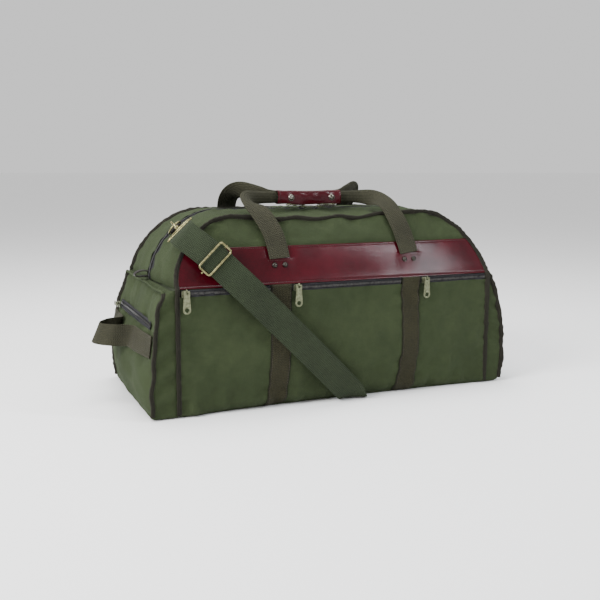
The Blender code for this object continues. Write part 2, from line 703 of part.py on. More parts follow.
FRONT_HANDLE = [(-0.1285, -0.1470, 0.2592), (-0.1280, -0.1385, 0.2800), (-0.1280, -0.1285, 0.3050),
                (-0.1300, -0.1130, 0.3305), (-0.1325, -0.0960, 0.3465), (-0.1300, -0.0770, 0.3545),
                (-0.1200, -0.0580, 0.3580), (-0.1020, -0.0410, 0.3585), (-0.0810, -0.0312, 0.3582),
                (-0.0600, -0.0305, 0.3585), (-0.0300, -0.0305, 0.3585), (0.0, -0.0305, 0.3585)]
FRONT_DRIFT = (0.0090, 0.0065, 0.0010, -0.0080, -0.0150, -0.0190, -0.0200, -0.0185, -0.0155, -0.0140,
               -0.0140, -0.0140)
BACK_HANDLE = [(-0.1285, 0.1470, 0.2592), (-0.1285, 0.1385, 0.2800), (-0.1290, 0.1285, 0.3050),
               (-0.1300, 0.1130, 0.3320), (-0.1310, 0.0940, 0.3500), (-0.1290, 0.0690, 0.3620),
               (-0.1210, 0.0440, 0.3690), (-0.1070, 0.0215, 0.3710), (-0.0900, 0.0015, 0.3675),
               (-0.0740, -0.0130, 0.3615), (-0.0500, -0.0185, 0.3590), (0.0, -0.0185, 0.3585)]
BACK_DRIFT = (0.0090, 0.0080, 0.0065, 0.0045, 0.0020, -0.0010, -0.0040, -0.0070, -0.0105, -0.0135,
              -0.0140, -0.0140)


def make_handles(looks):
    make_handle("front_handle", FRONT_HANDLE, FRONT_DRIFT, Vector((0, -0.06, -1.0)), looks)
    make_handle("back_handle", BACK_HANDLE, BACK_DRIFT, Vector((0, 0.15, -0.98)), looks)
    set_pivot("front_handle", (0, -HANDLE_HINGE_Y, HANDLE_HINGE_Z))
    set_pivot("back_handle", (0, HANDLE_HINGE_Y, HANDLE_HINGE_Z))


def make_grip(looks):
    """Leather wrap: a channel behind the webbing, closed in front by a flap with two snaps."""
    back, front = GRIP_Y + 0.0050, GRIP_Y - 0.0062
    top, bottom = GRIP_Z + GRIP_HEIGHT / 2, GRIP_Z - GRIP_HEIGHT / 2
    ply = LEATHER_PLY
    channel = [(front, top), (back - 0.002, top), (back, top - 0.002), (back, bottom + 0.002),
               (back - 0.002, bottom), (front, bottom), (front, bottom + ply),
               (back - ply - 0.0008, bottom + ply),
               (back - ply, bottom + ply + 0.0008), (back - ply, top - ply - 0.0008),
               (back - ply - 0.0008, top - ply), (front, top - ply)]
    place = frame_at(Vector((GRIP_X - GRIP_LENGTH / 2, 0, 0)), Y_AXIS, Z_AXIS, X_AXIS)
    prism("grip_wrap", channel, GRIP_LENGTH, place, looks["band_leather"])
    face = front - GAP
    flap = [(face, top + 0.0002), (face, bottom - 0.0004), (face - ply, bottom - 0.0004),
            (face - ply, top - 0.0012), (face - ply + 0.0010, top + 0.0002)]
    prism("grip_flap", flap, GRIP_LENGTH - 0.002,
          frame_at(Vector((GRIP_X - GRIP_LENGTH / 2 + 0.001, 0, 0)), Y_AXIS, Z_AXIS, X_AXIS),
          looks["band_leather"])
    dome_pair("grip_snaps", Vector((GRIP_X + 0.0035, face - ply - GAP, GRIP_Z - 0.001)),
              X_AXIS, Z_AXIS, -Y_AXIS,
              0.0830, 0.0058, 0.0030, looks["steel"])
    set_pivot("grip_wrap", (0, -HANDLE_HINGE_Y, HANDLE_HINGE_Z), "front_handle")
    set_pivot("grip_flap", (0, face, top + 0.0002), "front_handle")
    set_pivot("grip_snaps", (0, face, top + 0.0002), "front_handle")


# ---------------------------------------------------------------- shoulder strap and its hardware
STRAP_ROUTE = [(-0.2790, -0.0930, 0.3070), (-0.2800, -0.1240, 0.3010), (-0.2470, -0.1562, 0.2700),
               (-0.2140, -0.1710, 0.2365), (-0.1850, -0.1800, 0.2075), (-0.1560, -0.1825, 0.1785),
               (-0.1260, -0.1838, 0.1485), (-0.0820, -0.1842, 0.1045), (-0.0400, -0.1834, 0.0625),
               (-0.0130, -0.1800, 0.0350), (0.0060, -0.1740, 0.0170), (0.0165, -0.1635, 0.0055),
               (0.0250, -0.1490, 0.0017), (0.0510, -0.0700, 0.0016), (0.0740, 0.0000, 0.0016),
               (0.0970, 0.0700, 0.0016), (0.1230, 0.1490, 0.0017), (0.1290, 0.1640, 0.0060),
               (0.1340, 0.1715, 0.0190), (0.1420, 0.1745, 0.0500), (0.1620, 0.1755, 0.1100),
               (0.1900, 0.1730, 0.1750), (0.2180, 0.1640, 0.2280), (0.2500, 0.1500, 0.2720),
               (0.2800, 0.1240, 0.3010), (0.2790, 0.0930, 0.3070)]
STRAP_SIDES = {0: (0.70, 0, 0.71), 4: (0.70, 0, 0.71), 9: (0.72, -0.10, 0.68), 10: (0.85, -0.25, 0.42),
               11: (0.95, -0.31, 0.08), 12: (0.95, -0.31, 0), 16: (0.95, -0.31, 0), 17: (0.95, -0.25, -0.08),
               18: (0.95, 0.0, -0.26), 21: (0.92, 0, -0.38), 24: (0.72, 0.0, -0.69), 25: (0.70, 0, -0.71)}


def strap_hints(steps):
    """Width direction along the strap, turning between the stated points."""
    keys = sorted(STRAP_SIDES)
    hints = []
    for i in range((len(STRAP_ROUTE) - 1) * steps + 1):
        at = i / steps
        before = max(k for k in keys if k <= at)
        after = min((k for k in keys if k >= at), default=keys[-1])
        part = 0.0 if before == after else (at - before) / (after - before)
        mixed = Vector(STRAP_SIDES[before]) * (1 - part) + Vector(STRAP_SIDES[after]) * part
        hints.append(mixed.normalized())
    return hints


def make_strap(looks):
    steps = 3
    route = smooth_route([Vector(p) for p in STRAP_ROUTE], steps)
    ribbon("shoulder_strap", route, strap_hints(steps), [STRAP] * len(route), STRAP_THICK,
           looks["strap_web"])


def adjuster_frame():
    """Middle of the slide adjuster and its axes: along the strap, across it, and out from it."""
    here, below = Vector(STRAP_ROUTE[2]), Vector(STRAP_ROUTE[4])
    along = (below - here).normalized()
    across = Vector((0.70, 0, 0.71))
    across = (across - along * across.dot(along)).normalized()
    out = along.cross(across)
    if out.y > 0:
        out = -out
    return here + along * 0.010, along, across, out


def make_adjuster(looks):
    """Rectangular wire slide: its two end bars lie over the webbing and its middle bar under it."""
    centre, along, across, out = adjuster_frame()
    half_wide, half_long, wire = STRAP / 2 + 0.0028, 0.0115, 0.0017
    lift = STRAP_THICK / 2 + wire + 0.0027
    ring = [centre + out * lift + along * v + across * u
            for u, v in rounded_outline(half_wide * 2, half_long * 2, 0.004, 3)]
    frame = tube("slide_adjuster", ring, wire, looks["brass"], closed=True)
    drop = -STRAP_THICK / 2 - wire - 0.0024
    bridge = [centre + across * half_wide * u + out * w
              for u, w in ((-1, lift), (-1, drop), (1, drop), (1, lift))]
    bar = tube("slide_adjuster_bar", bridge, wire * 0.95, looks["brass"])
    return frame, bar


def arch_frame(x_left):
    """Gusset surface on the left shoulder: point, slope direction and outward normal at an x."""
    line = arch_points(60, 3)
    point, normal = min(line, key=lambda item: abs(item[0].x - x_left))
    slope = Vector((normal.z, 0, -normal.x))
    return point + normal * TOP_CROWN * 0.93, slope, normal


D_RING_X = -0.262
D_RING_TILT = math.radians(30)
D_RING_BAR = (-0.0295, 0.0056)      # y of the straight bar, and its height above the gusset
D_RING_HALF_WIDTH = 0.0140
D_RING_LENGTH = 0.0165
WIRE = 0.0016


def d_ring_points(surface, slope, normal):
    reach = -Y_AXIS * math.cos(D_RING_TILT) + normal * math.sin(D_RING_TILT)
    bar = surface + Y_AXIS * D_RING_BAR[0] + normal * D_RING_BAR[1]
    flat = D_RING_LENGTH - D_RING_HALF_WIDTH
    points = [bar + slope * s for s in (-D_RING_HALF_WIDTH, 0, D_RING_HALF_WIDTH)]
    for step in range(9):
        angle = math.radians(180 * step / 8)
        points.append(bar + reach * (flat + D_RING_HALF_WIDTH * math.sin(angle))
                      + slope * D_RING_HALF_WIDTH * math.cos(angle))
    return points, bar, bar + reach * D_RING_LENGTH


def hook_parts(tip, root, slope):
    """Snap hook from the D-ring wire to the strap: eye outline, shank and the strap loop."""
    along = (root - tip).normalized()
    out = along.cross(slope).normalized()
    eye_centre = tip + along * 0.0062
    eye = [eye_centre + along * u + out * v for u, v in rounded_outline(0.0205, 0.0125, 0.0060, 4)]
    shank = [eye_centre + along * d for d in (0.0098, 0.0150, 0.0200, 0.0245)]
    return along, out, eye, shank


def turned(points, side):
    """The right-hand copy: everything turned half a turn about the vertical axis."""
    return points if side < 0 else [Vector((-p.x, -p.y, p.z)) for p in points]


def make_strap_ends(looks):
    surface, slope, normal = arch_frame(D_RING_X)
    ring, _, tip = d_ring_points(surface, slope, normal)
    root = Vector(STRAP_ROUTE[0])
    along, _, eye, shank = hook_parts(tip, root, slope)
    tab = [(-0.0150, 0.0018), (-0.0220, 0.0018), (-0.0295, 0.0019), (-0.0332, 0.0056), (-0.0295, 0.0094),
           (-0.0220, 0.0080), (-0.0150, 0.0048)]
    tab_route = smooth_route([surface + Y_AXIS * y + normal * n for y, n in tab], 3)
    across = Vector((0.70, 0, 0.71))
    across = (across - along * across.dot(along)).normalized()
    bar_centre = root - along * (WIRE + 0.0026)
    half = STRAP / 2 + 0.0010
    loop = [bar_centre + across * s * half for s in (-1, 0, 1)]
    loop += [bar_centre - along * 0.0062 + across * half * 0.72, bar_centre - along * 0.0088,
             bar_centre - along * 0.0062 - across * half * 0.72]
    for side, name in ((-1, "left"), (1, "right")):
        tube(name + "_d_ring", turned(ring, side), WIRE, looks["brass"], closed=True)
        direction = slope if side < 0 else Vector((-slope.x, 0, slope.z))
        ribbon(name + "_d_ring_tab", turned(tab_route, side), [direction] * len(tab_route),
               [0.024] * len(tab_route), 0.0014, looks["dark_leather"])
        tube(name + "_hook_eye", turned(eye, side), 0.0019, looks["brass"], closed=True)
        tube(name + "_hook_shank", turned(shank, side), 0.0032, looks["brass"])
        tube(name + "_strap_loop", turned(loop, side), WIRE, looks["brass"], closed=True)


def set_strap_pivots():
    surface, slope, normal = arch_frame(D_RING_X)
    _, bar, _ = d_ring_points(surface, slope, normal)
    root = Vector(STRAP_ROUTE[0])
    for side, name in ((-1, "left"), (1, "right")):
        set_pivot(name + "_d_ring", turned([bar], side)[0])
        set_pivot(name + "_snap_hook", turned([root], side)[0])


def gather():
    """Every piece hangs off one empty at the origin."""
    hub = bpy.data.objects.new("duffel_bag", None)
    bpy.context.scene.collection.objects.link(hub)
    for thing in bpy.data.objects:
        if thing is not hub and thing.parent is None:
            thing.parent = hub


def join_tubes(name, first, second):
    """Union of two wire pieces that belong to one casting."""
    depsgraph = bpy.context.evaluated_depsgraph_get()
    pieces = []
    for source in (first, second):
        mesh = bpy.data.meshes.new_from_object(source.evaluated_get(depsgraph))
        piece = bpy.data.objects.new(source.name + "_mesh", mesh)
        bpy.context.scene.collection.objects.link(piece)
        pieces.append(piece)
    for source in (first, second):
        bpy.data.objects.remove(source, do_unlink=True)
    body, tool = pieces
    body.name = name
    tool.hide_render = True
    tool.display_type = "WIRE"
    join = body.modifiers.new("join", "BOOLEAN")
    join.operation = "UNION"
    join.solver = "EXACT"
    join.object = tool
    return body


def main():
    clear_scene()
    looks = make_materials()
    make_base(looks)
    make_panels(looks)
    make_gusset(looks)
    make_bindings(looks)
    make_end_pockets(looks)
    make_webbing(looks)
    make_grab_handles(looks)
    make_front_zippers(looks)
    make_main_sliders(looks)
    make_end_zippers(looks)
    make_zip_end_tabs(looks)
    make_handles(looks)
    make_grip(looks)
    make_strap(looks)
    frame, bar = make_adjuster(looks)
    join_tubes("slide_adjuster", frame, bar)
    set_pivot("slide_adjuster", adjuster_frame()[0])
    make_strap_ends(looks)
    for side in ("left", "right"):
        join_tubes(side + "_snap_hook", bpy.data.objects[side + "_hook_eye"],
                   bpy.data.objects[side + "_hook_shank"])
    set_strap_pivots()
    gather()


main()
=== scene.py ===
"""Duffel bag in olive canvas with a burgundy leather band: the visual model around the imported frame."""
import json
import math

import bmesh
import bpy
import numpy as np
from mathutils import Matrix, Vector


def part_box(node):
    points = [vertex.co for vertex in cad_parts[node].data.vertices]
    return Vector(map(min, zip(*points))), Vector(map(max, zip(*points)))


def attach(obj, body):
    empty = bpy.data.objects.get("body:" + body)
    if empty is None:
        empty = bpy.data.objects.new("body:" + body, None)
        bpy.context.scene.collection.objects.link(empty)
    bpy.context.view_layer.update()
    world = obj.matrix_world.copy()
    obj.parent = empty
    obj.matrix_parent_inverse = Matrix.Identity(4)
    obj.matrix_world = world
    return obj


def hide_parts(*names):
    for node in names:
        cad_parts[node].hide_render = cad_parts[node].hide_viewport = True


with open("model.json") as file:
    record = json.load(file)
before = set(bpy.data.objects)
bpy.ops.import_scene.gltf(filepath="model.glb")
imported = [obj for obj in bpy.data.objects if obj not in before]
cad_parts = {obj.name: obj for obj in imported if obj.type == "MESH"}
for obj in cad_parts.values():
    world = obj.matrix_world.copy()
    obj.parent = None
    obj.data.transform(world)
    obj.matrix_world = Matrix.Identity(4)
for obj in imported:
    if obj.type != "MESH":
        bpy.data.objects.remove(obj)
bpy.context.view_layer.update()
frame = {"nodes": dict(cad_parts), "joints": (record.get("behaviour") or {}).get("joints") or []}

# ---------------------------------------------------------------- dimensions, in metres
HALF_LENGTH, HALF_DEPTH = 0.305, 0.160
BODY_HEIGHT, SHOULDER_HEIGHT = 0.331, 0.2154
TOP_HALF_LENGTH, TOP_HALF_WIDTH, TOP_CROWN = 0.190, 0.103, 0.006
ARCH_POWER, LEAN_POWER = 1.76, 0.74
LOWER_BELLY, UPPER_BELLY, BACK_BELLY = 0.012, 0.012, 0.008
BOTTOM_ROUND, CORNER_ROUND = 0.026, 0.008
BINDING = 0.0042
ZIP_LINE = 0.2085
BAND_LOW, BAND_HIGH = 0.2162, 0.2790
POCKET_HEIGHT, POCKET_DEPTH, POCKET_LEAN, POCKET_CLOSE = 0.2146, 0.047, 0.36, 0.021
SLACK_DEPTH, SLACK_LEAN, SLACK_BELLY = 0.036, 0.86, 0.008
POCKET_BELLY, POCKET_ROUND, END_ZIP_LINE = 0.019, 0.008, 0.154
WEBBING_X, WEBBING_SLANT, WEBBING, STRAP = 0.1285, 0.0115, 0.038, 0.050
HINGE_Z = 0.2592
GRIP_X, GRIP_Y, GRIP_Z, GRIP_LENGTH, GRIP_HEIGHT = -0.0140, -0.0305, 0.3585, 0.130, 0.0250
X, Y, Z = np.eye(3)


# ---------------------------------------------------------------- camera, floor and light
def make_camera():
    azimuth, elevation, roll = (math.radians(v) for v in (-24.086, 9.026, 0.245))
    back = Vector((math.sin(azimuth) * math.cos(elevation), -math.cos(azimuth) * math.cos(elevation),
                   math.sin(elevation)))
    right = Vector((math.cos(azimuth), math.sin(azimuth), 0))
    up = back.cross(right)
    turned_right = right * math.cos(roll) + up * math.sin(roll)
    turned_up = up * math.cos(roll) - right * math.sin(roll)
    camera = bpy.data.objects.new("camera", bpy.data.cameras.new("camera"))
    camera.data.sensor_width = 36
    camera.data.lens = 50.95
    place = Matrix((turned_right, turned_up, back)).transposed().to_4x4()
    place.translation = Vector((-0.0155, 0, 0.1584)) + back * 1.647
    camera.matrix_world = place
    bpy.context.scene.collection.objects.link(camera)
    bpy.context.scene.camera = camera


def area_light(name, at, look, size, power, colour=(1, 1, 1)):
    lamp = bpy.data.lights.new(name, "AREA")
    lamp.shape = "RECTANGLE"
    lamp.size, lamp.size_y = size
    lamp.energy = power
    lamp.color = colour
    thing = bpy.data.objects.new(name, lamp)
    thing.location = at
    thing.rotation_euler = (Vector(look) - Vector(at)).to_track_quat("-Z", "Y").to_euler()
    bpy.context.scene.collection.objects.link(thing)


def make_studio():
    world = bpy.data.worlds.new("studio")
    world.use_nodes = True
    world.node_tree.nodes["Background"].inputs[0].default_value = (1.0, 1.0, 1.0, 1)
    world.node_tree.nodes["Background"].inputs[1].default_value = 0.9
    bpy.context.scene.world = world
    bm = bmesh.new()
    bmesh.ops.create_grid(bm, x_segments=2, y_segments=2, size=40.0)
    mesh = bpy.data.meshes.new("floor")
    bm.to_mesh(mesh)
    bm.free()
    floor = bpy.data.objects.new("floor", mesh)
    floor.location.z = -0.0004
    paint = bpy.data.materials.new("floor")
    paint.use_nodes = True
    paint.node_tree.nodes["Principled BSDF"].inputs["Base Color"].default_value = (0.93, 0.93, 0.93, 1)
    paint.node_tree.nodes["Principled BSDF"].inputs["Roughness"].default_value = 0.9
    mesh.materials.append(paint)
    bpy.context.scene.collection.objects.link(floor)
    area_light("left_softbox", (-2.2, -0.7, 1.6), (0, 0, 0.15), (1.2, 1.2), 104)
    area_light("right_softbox", (1.075, -1.215, 1.150), (0.12, -0.15, 0.25), (0.085, 0.70), 15,
               (0.90, 0.95, 1.0))
    area_light("top_softbox", (-0.1, 0.2, 2.2), (0, 0, 0.2), (1.8, 1.2), 54)
    area_light("front_fill", (0.2, -3.2, 0.5), (0, 0, 0.1), (2.0, 1.0), 9)


# ---------------------------------------------------------------- materials
def tone(colour, factor, *alpha):
    return (*(min(c * factor, 1.0) for c in colour), *alpha)


class Look:
    """A procedural material in the making: a Principled shader and the nodes that feed it."""

    def __init__(self, name, **finish):
        self.material = bpy.data.materials.new(name)
        self.material.use_nodes = True
        self.tree = self.material.node_tree
        self.shader = self.tree.nodes["Principled BSDF"]
        self.place = self.node("ShaderNodeTexCoord", {}, "Object")
        for key, value in finish.items():
            self.shader.inputs[key.replace("_", " ")].default_value = value

    def node(self, kind, inputs, output=0, **settings):
        made = self.tree.nodes.new(kind)
        for key, value in settings.items():
            setattr(made, key, value)
        for key, value in inputs.items():
            if isinstance(value, bpy.types.NodeSocket):
                self.tree.links.new(value, made.inputs[key])
            else:
                made.inputs[key].default_value = value
        return made.outputs[output]

    def cloth_axes(self):
        """The cloth's own coordinates in metres, and those across and along it."""
        uv = self.node("ShaderNodeUVMap", {}, uv_map="UVMap")
        return uv, *(self.node("ShaderNodeSeparateXYZ", {0: uv}, axis) for axis in (0, 1))

    def maths(self, operation, *values):
        return self.node("ShaderNodeMath", dict(enumerate(values)), operation=operation)

    def total(self, *terms, plus=0.0):
        """Weighted sum of sockets, from (weight, socket) pairs."""
        for weight, socket in terms:
            plus = self.maths("MULTIPLY_ADD", socket, weight, plus)
        return plus

    def noise(self, scale, detail=2.0, rough=0.5, source=None):
        """Noise; a scale of three numbers stretches it along the axes."""
        source = source or self.place
        if isinstance(scale, tuple):
            source = self.node("ShaderNodeVectorMath", {0: source, 1: scale}, operation="MULTIPLY")
            scale = 1.0
        return self.node("ShaderNodeTexNoise", {"Vector": source, "Scale": scale, "Detail": detail,
                                                "Roughness": rough}, "Fac")

    def tint(self, factor, *stops):
        colour = self.node("ShaderNodeValToRGB", {"Fac": factor})
        band = colour.node.color_ramp
        while len(band.elements) < len(stops):
            band.elements.new(0.5)
        for element, (at, shade) in zip(band.elements, stops):
            element.position, element.color = at, (*shade, 1)
        self.tree.links.new(colour, self.shader.inputs["Base Color"])

    def gloss(self, roughness):
        self.tree.links.new(roughness, self.shader.inputs["Roughness"])

    def bumped(self, height, strength, distance):
        """Finish the material with its relief."""
        normal = self.node("ShaderNodeBump", {"Strength": strength, "Distance": distance, "Height": height})
        self.tree.links.new(normal, self.shader.inputs["Normal"])
        return self.material


def canvas_material(name, colour, thread=0.00085, mottle=0.20):
    """Plain weave: two sets of uneven yarns, slubs along them and soft clouds of fading."""
    look = Look(name, Roughness=0.93, Specular_IOR_Level=0.18, Sheen_Weight=0.10, Sheen_Roughness=0.6,
                Sheen_Tint=tone(colour, 5.0, 1))
    uv, across, along = look.cloth_axes()
    wander = look.noise((90, 90, 90), detail=1.0, source=uv)
    weft, warp = (look.maths("SINE", look.total((5.0, wander), (2 * math.pi / thread, yarn)))
                  for yarn in (across, along))
    cross = look.maths("MULTIPLY", weft, warp)
    slubs = look.total(*((1, look.noise(way, source=uv)) for way in ((1500, 55, 1), (55, 1500, 1))))
    clouds, fine = look.noise(13.0, 5.0, 0.62), look.noise(85.0, 3.0, 0.6)
    look.tint(look.total((0.62, clouds), (0.32, slubs), (0.22, fine), (0.05, cross)),
              (0.45, tone(colour, 1 - mottle * 1.5)), (0.72, colour), (0.98, tone(colour, 1 + mottle * 2)))
    return look.bumped(look.total((0.42, cross), (0.9, slubs)), 0.85, 0.00035)


def webbing_material(name, colour, pitch=0.0030, selvedge=0.0):
    """Ribbed webbing: chevron ribs across and cords along. When selvedge is given (half the width), the edges
    are darkened, partly for their dark stitch lines and partly as painted shade.
    """
    look = Look(name, Roughness=0.86, Specular_IOR_Level=0.22, Sheen_Weight=0.12, Sheen_Roughness=0.5,
                Sheen_Tint=tone(colour, 4.0, 1))
    uv, across, along = look.cloth_axes()
    turn, cord = 2 * math.pi / pitch, 2 * math.pi / 0.0029
    zigzag = look.maths("PINGPONG", across, 0.0032)
    ribs = look.maths("SINE", look.total((turn, along), (0.55 * turn, zigzag)))
    cords = look.maths("SINE", look.total((cord, across)))
    strands = look.noise((1400, 110, 1), source=uv)
    clouds = look.noise(22.0, 4.0, 0.6)
    mix = look.total((0.40, clouds), (0.50, strands), (0.17, ribs), (0.09, cords))
    if selvedge:
        # Painted shade: the colour darkens within 4 mm of each edge, partly for the dark stitch lines there
        # and partly for shadow along the edges.
        edge = look.maths("PINGPONG", across, selvedge)
        dark = look.node("ShaderNodeMapRange", {0: edge, 1: 0.0008, 2: 0.0040, 3: -0.30, 4: 0.0})
        mix = look.total((1, dark), plus=mix)
    look.tint(mix, (0.18, tone(colour, 0.38)), (0.46, colour), (0.72, tone(colour, 1.75)))
    return look.bumped(look.total((0.4, strands), (0.34, cords), (0.5, ribs)), 1.0, 0.00085)


def leather_material(name, colour, rough, grain=1100.0, depth=0.00010):
    """Polished leather: fine pebble grain, cloudy dye, faint scratches and creases."""
    look = Look(name, Specular_IOR_Level=0.17)
    pebble = look.node("ShaderNodeTexVoronoi", {"Vector": look.place, "Scale": grain}, "Distance")
    pores = look.noise(grain * 0.55, 3.0)
    clouds = look.noise(16.0, 5.0, 0.6)
    scuffs = look.noise((40, 260, 420), 4.0, 0.7)
    creases = look.noise((28, 60, 120), 5.0, 0.6)
    look.tint(look.total((0.25, pores), plus=clouds),
              (0.42, tone(colour, 0.62)), (0.62, colour), (0.86, tone(colour, 1.45)))
    look.gloss(look.total((0.14, scuffs), plus=rough - 0.06))
    return look.bumped(look.total((0.6, pores), (0.22, creases), plus=pebble), 0.55, depth)


def metal_material(name, colour, dark, rough=0.27):
    """Cast fitting: bright where it is rubbed, tarnish in between, hairline scratches."""
    look = Look(name, Metallic=1.0)
    patches = look.noise(240.0, 4.0, 0.65)
    scratches = look.noise((3000, 500, 900), 3.0, 0.7)
    look.tint(patches, (0.34, dark), (0.56, colour), (0.8, tone(colour, 1.15)))
    look.gloss(look.total((-0.12, patches), (0.18, scratches), plus=rough))
    return look.bumped(look.total((1, scratches), plus=patches), 0.3, 0.00008)


def grained_material(name, scale, detail, roughness, stops, relief):
    """Thread, lining or board: one fine noise for both colour and relief."""
    look = Look(name, Roughness=roughness)
    grain = look.noise(scale, detail)
    clouds = look.noise(14.0, 4.0)
    look.tint(look.total((0.8, grain), (0.2, clouds)), *stops)
    return look.bumped(grain, *relief)


def thread_material(name, colour):
    stops = [(0.3, tone(colour, 0.6)), (0.55, colour), (0.8, tone(colour, 1.5))]
    return grained_material(name, 1800.0, 2.0, 0.7, stops, (0.5, 0.0001))


# ---------------------------------------------------------------- numbers
def ripple(s, wavelength, seed, terms=5):
    """Uneven waves along a line, about -1 to 1."""
    draw = np.random.default_rng(seed)
    total = 0.0
    for _ in range(terms):
        wave = wavelength * draw.uniform(0.65, 1.6)
        total = total + np.sin(2 * np.pi * s / wave + draw.uniform(0, 6.28))
    return total / math.sqrt(terms * 0.9)


def clouds2(a, b, wavelength, seed, terms=9):
    """Smooth uneven relief over a surface, about -1 to 1."""
    draw = np.random.default_rng(seed)
    total = 0.0
    for _ in range(terms):
        turn, wave = draw.uniform(0, 2 * np.pi), wavelength * draw.uniform(0.7, 1.7)
        phase = 2 * np.pi * (a * math.cos(turn) + b * math.sin(turn)) / wave
        total = total + np.sin(phase + draw.uniform(0, 6.28))
    return total / math.sqrt(terms * 0.9)


def step(low, high, value):
    t = np.clip((value - low) / (high - low), 0, 1)
    return t * t * (3 - 2 * t)


def near(distance, reach):
    """1 on a seam, fading with the distance from it."""
    return np.exp(-distance / reach)


def ridge(distance, width):
    """A rounded ridge, 1 along its crest."""
    return np.exp(-(distance / width) ** 2)


def unit(v):
    return v / np.maximum(np.linalg.norm(v, axis=-1, keepdims=True), 1e-12)


def curve_through(points, steps):
    """Catmull-Rom curve through the points."""
    p = np.array(points, float)
    p = np.vstack([2 * p[0] - p[1], p, 2 * p[-1] - p[-2]])
    out = []
    for i in range(1, len(p) - 2):
        a, b, c, d = p[i - 1:i + 3]
        for t in np.arange(steps) / steps:
            bend, twist = 2 * a - 5 * b + 4 * c - d, 3 * b - a - 3 * c + d
            out.append(0.5 * (2 * b + (c - a) * t + bend * t * t + twist * t ** 3))
    return np.array(out + [p[-2]])


def run_length(line):
    return np.concatenate([[0], np.cumsum(np.linalg.norm(np.diff(line, axis=0), axis=1))])


def resample(line, spacing, *others):
    """The line and anything given along it, at even spacing."""
    s = run_length(line)
    count = max(int(round(s[-1] / spacing)), 1) + 1
    at = np.linspace(0, s[-1], count)
    picked = [np.stack([np.interp(at, s, column) for column in data.T], 1) for data in (line, *others)]
    return picked if others else picked[0]


# ---------------------------------------------------------------- meshes
ALL = []


def add(name, mesh, material, body, cad=(), sharp=38):
    made = bpy.data.objects.new(name, mesh)
    mesh.materials.clear()
    mesh.materials.append(material)
    mesh.shade_smooth()
    mesh.set_sharp_from_angle(angle=math.radians(sharp))
    bpy.context.scene.collection.objects.link(made)
    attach(made, body)
    if cad:
        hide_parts(*cad)
    ALL.append(made)
    return made


def mesh_from(name, verts, faces, uv=None):
    mesh = bpy.data.meshes.new(name)
    mesh.from_pydata([tuple(v) for v in verts], [], faces)
    if uv is not None:
        layer = mesh.uv_layers.new(name="UVMap")
        layer.data.foreach_set("uv", np.asarray(uv, np.float32).ravel())
    mesh.update()
    return mesh


def grid_normals(p):
    across = np.gradient(p, axis=1)
    down = np.gradient(p, axis=0)
    return unit(np.cross(across, down))


def sheet(name, p, thickness, out, material, body, cad=(), lift=0.0, round_rim=True):
    """Cloth or leather whose outer skin is the grid, with its own thickness and a closed rim."""
    normals = grid_normals(p)
    if np.sum(normals[p.shape[0] // 2, p.shape[1] // 2] * np.array(out)) < 0:
        p, normals = p[:, ::-1], -normals[:, ::-1]
    rows, cols = p.shape[:2]
    outer, inner = p + normals * lift, p + normals * (lift - thickness)
    if round_rim:
        soft = np.ones((rows, cols, 1))
        soft[0], soft[-1], soft[:, 0], soft[:, -1] = 0, 0, 0, 0
        outer = outer - normals * thickness * 0.3 * (1 - soft)
        inner = inner + normals * thickness * 0.3 * (1 - soft)
    u = run_length(p[rows // 2])
    v = run_length(p[:, cols // 2])
    index = np.arange(rows * cols).reshape(rows, cols)
    a, b, c, d = index[:-1, :-1], index[:-1, 1:], index[1:, 1:], index[1:, :-1]
    top = np.stack([a, b, c, d], -1).reshape(-1, 4)
    under = top[:, ::-1] + rows * cols
    loop = np.concatenate([index[0, :-1], index[:-1, -1], index[-1, :0:-1], index[:0:-1, 0]])
    ahead = np.roll(loop, -1)
    rim = np.stack([ahead, loop, loop + rows * cols, ahead + rows * cols], -1)
    faces = np.concatenate([top, under, rim])
    flat = np.stack(np.meshgrid(u, v), -1).reshape(-1, 2)
    flat = np.concatenate([flat, flat])
    mesh = mesh_from(name, np.concatenate([outer.reshape(-1, 3), inner.reshape(-1, 3)]), faces.tolist(),
                     flat[faces.ravel()])
    return add(name, mesh, material, body, cad)


def frames(line, hints=None):
    """Unit tangent, width and thickness directions along a line."""
    tangent = unit(np.gradient(line, axis=0))
    if hints is None:
        first = np.cross(tangent[0], Z if abs(tangent[0][2]) < 0.9 else X)
        widths = [unit(first)]
        for t in tangent[1:]:
            widths.append(unit(widths[-1] - t * np.dot(widths[-1], t)))
        width = np.array(widths)
    else:
        hints = np.broadcast_to(np.asarray(hints, float), line.shape)
        width = unit(hints - tangent * np.sum(hints * tangent, 1, keepdims=True))
    return tangent, width, np.cross(tangent, width)


def sweep_data(line, profile, hints=None, closed=False):
    """Vertices, faces and corner UVs of a closed outline carried along a line; it may change on the way."""
    _, width, face = frames(line, hints)
    if closed:
        tangent = unit(np.roll(line, -1, 0) - np.roll(line, 1, 0))
        if hints is None:
            hints = width
        hints = np.broadcast_to(np.asarray(hints, float), line.shape)
        width = unit(hints - tangent * np.sum(hints * tangent, 1, keepdims=True))
        face = np.cross(tangent, width)
    profile = np.asarray(profile, float)
    if profile.ndim == 2:
        profile = np.broadcast_to(profile, (len(line), *profile.shape))
    count, sides = profile.shape[:2]
    verts = line[:, None] + width[:, None] * profile[..., :1] + face[:, None] * profile[..., 1:]
    ring = np.vstack([profile[count // 2], profile[count // 2][:1]])
    u, v = run_length(ring), run_length(line)
    v = np.append(v, v[-1] + np.linalg.norm(line[0] - line[-1]))
    faces, uv = [], []
    for i in range(count if closed else count - 1):
        j = (i + 1) % count
        for k in range(sides):
            m = (k + 1) % sides
            faces.append((i * sides + k, i * sides + m, j * sides + m, j * sides + k))
            uv += [(u[k], v[i]), (u[k + 1], v[i]), (u[k + 1], v[i + 1]), (u[k], v[i + 1])]
    if not closed:
        for i, order in ((0, range(sides - 1, -1, -1)), (count - 1, range(sides))):
            faces.append(tuple(i * sides + k for k in order))
            uv += [(profile[i][k][0], profile[i][k][1]) for k in order]
    return verts.reshape(-1, 3), faces, uv


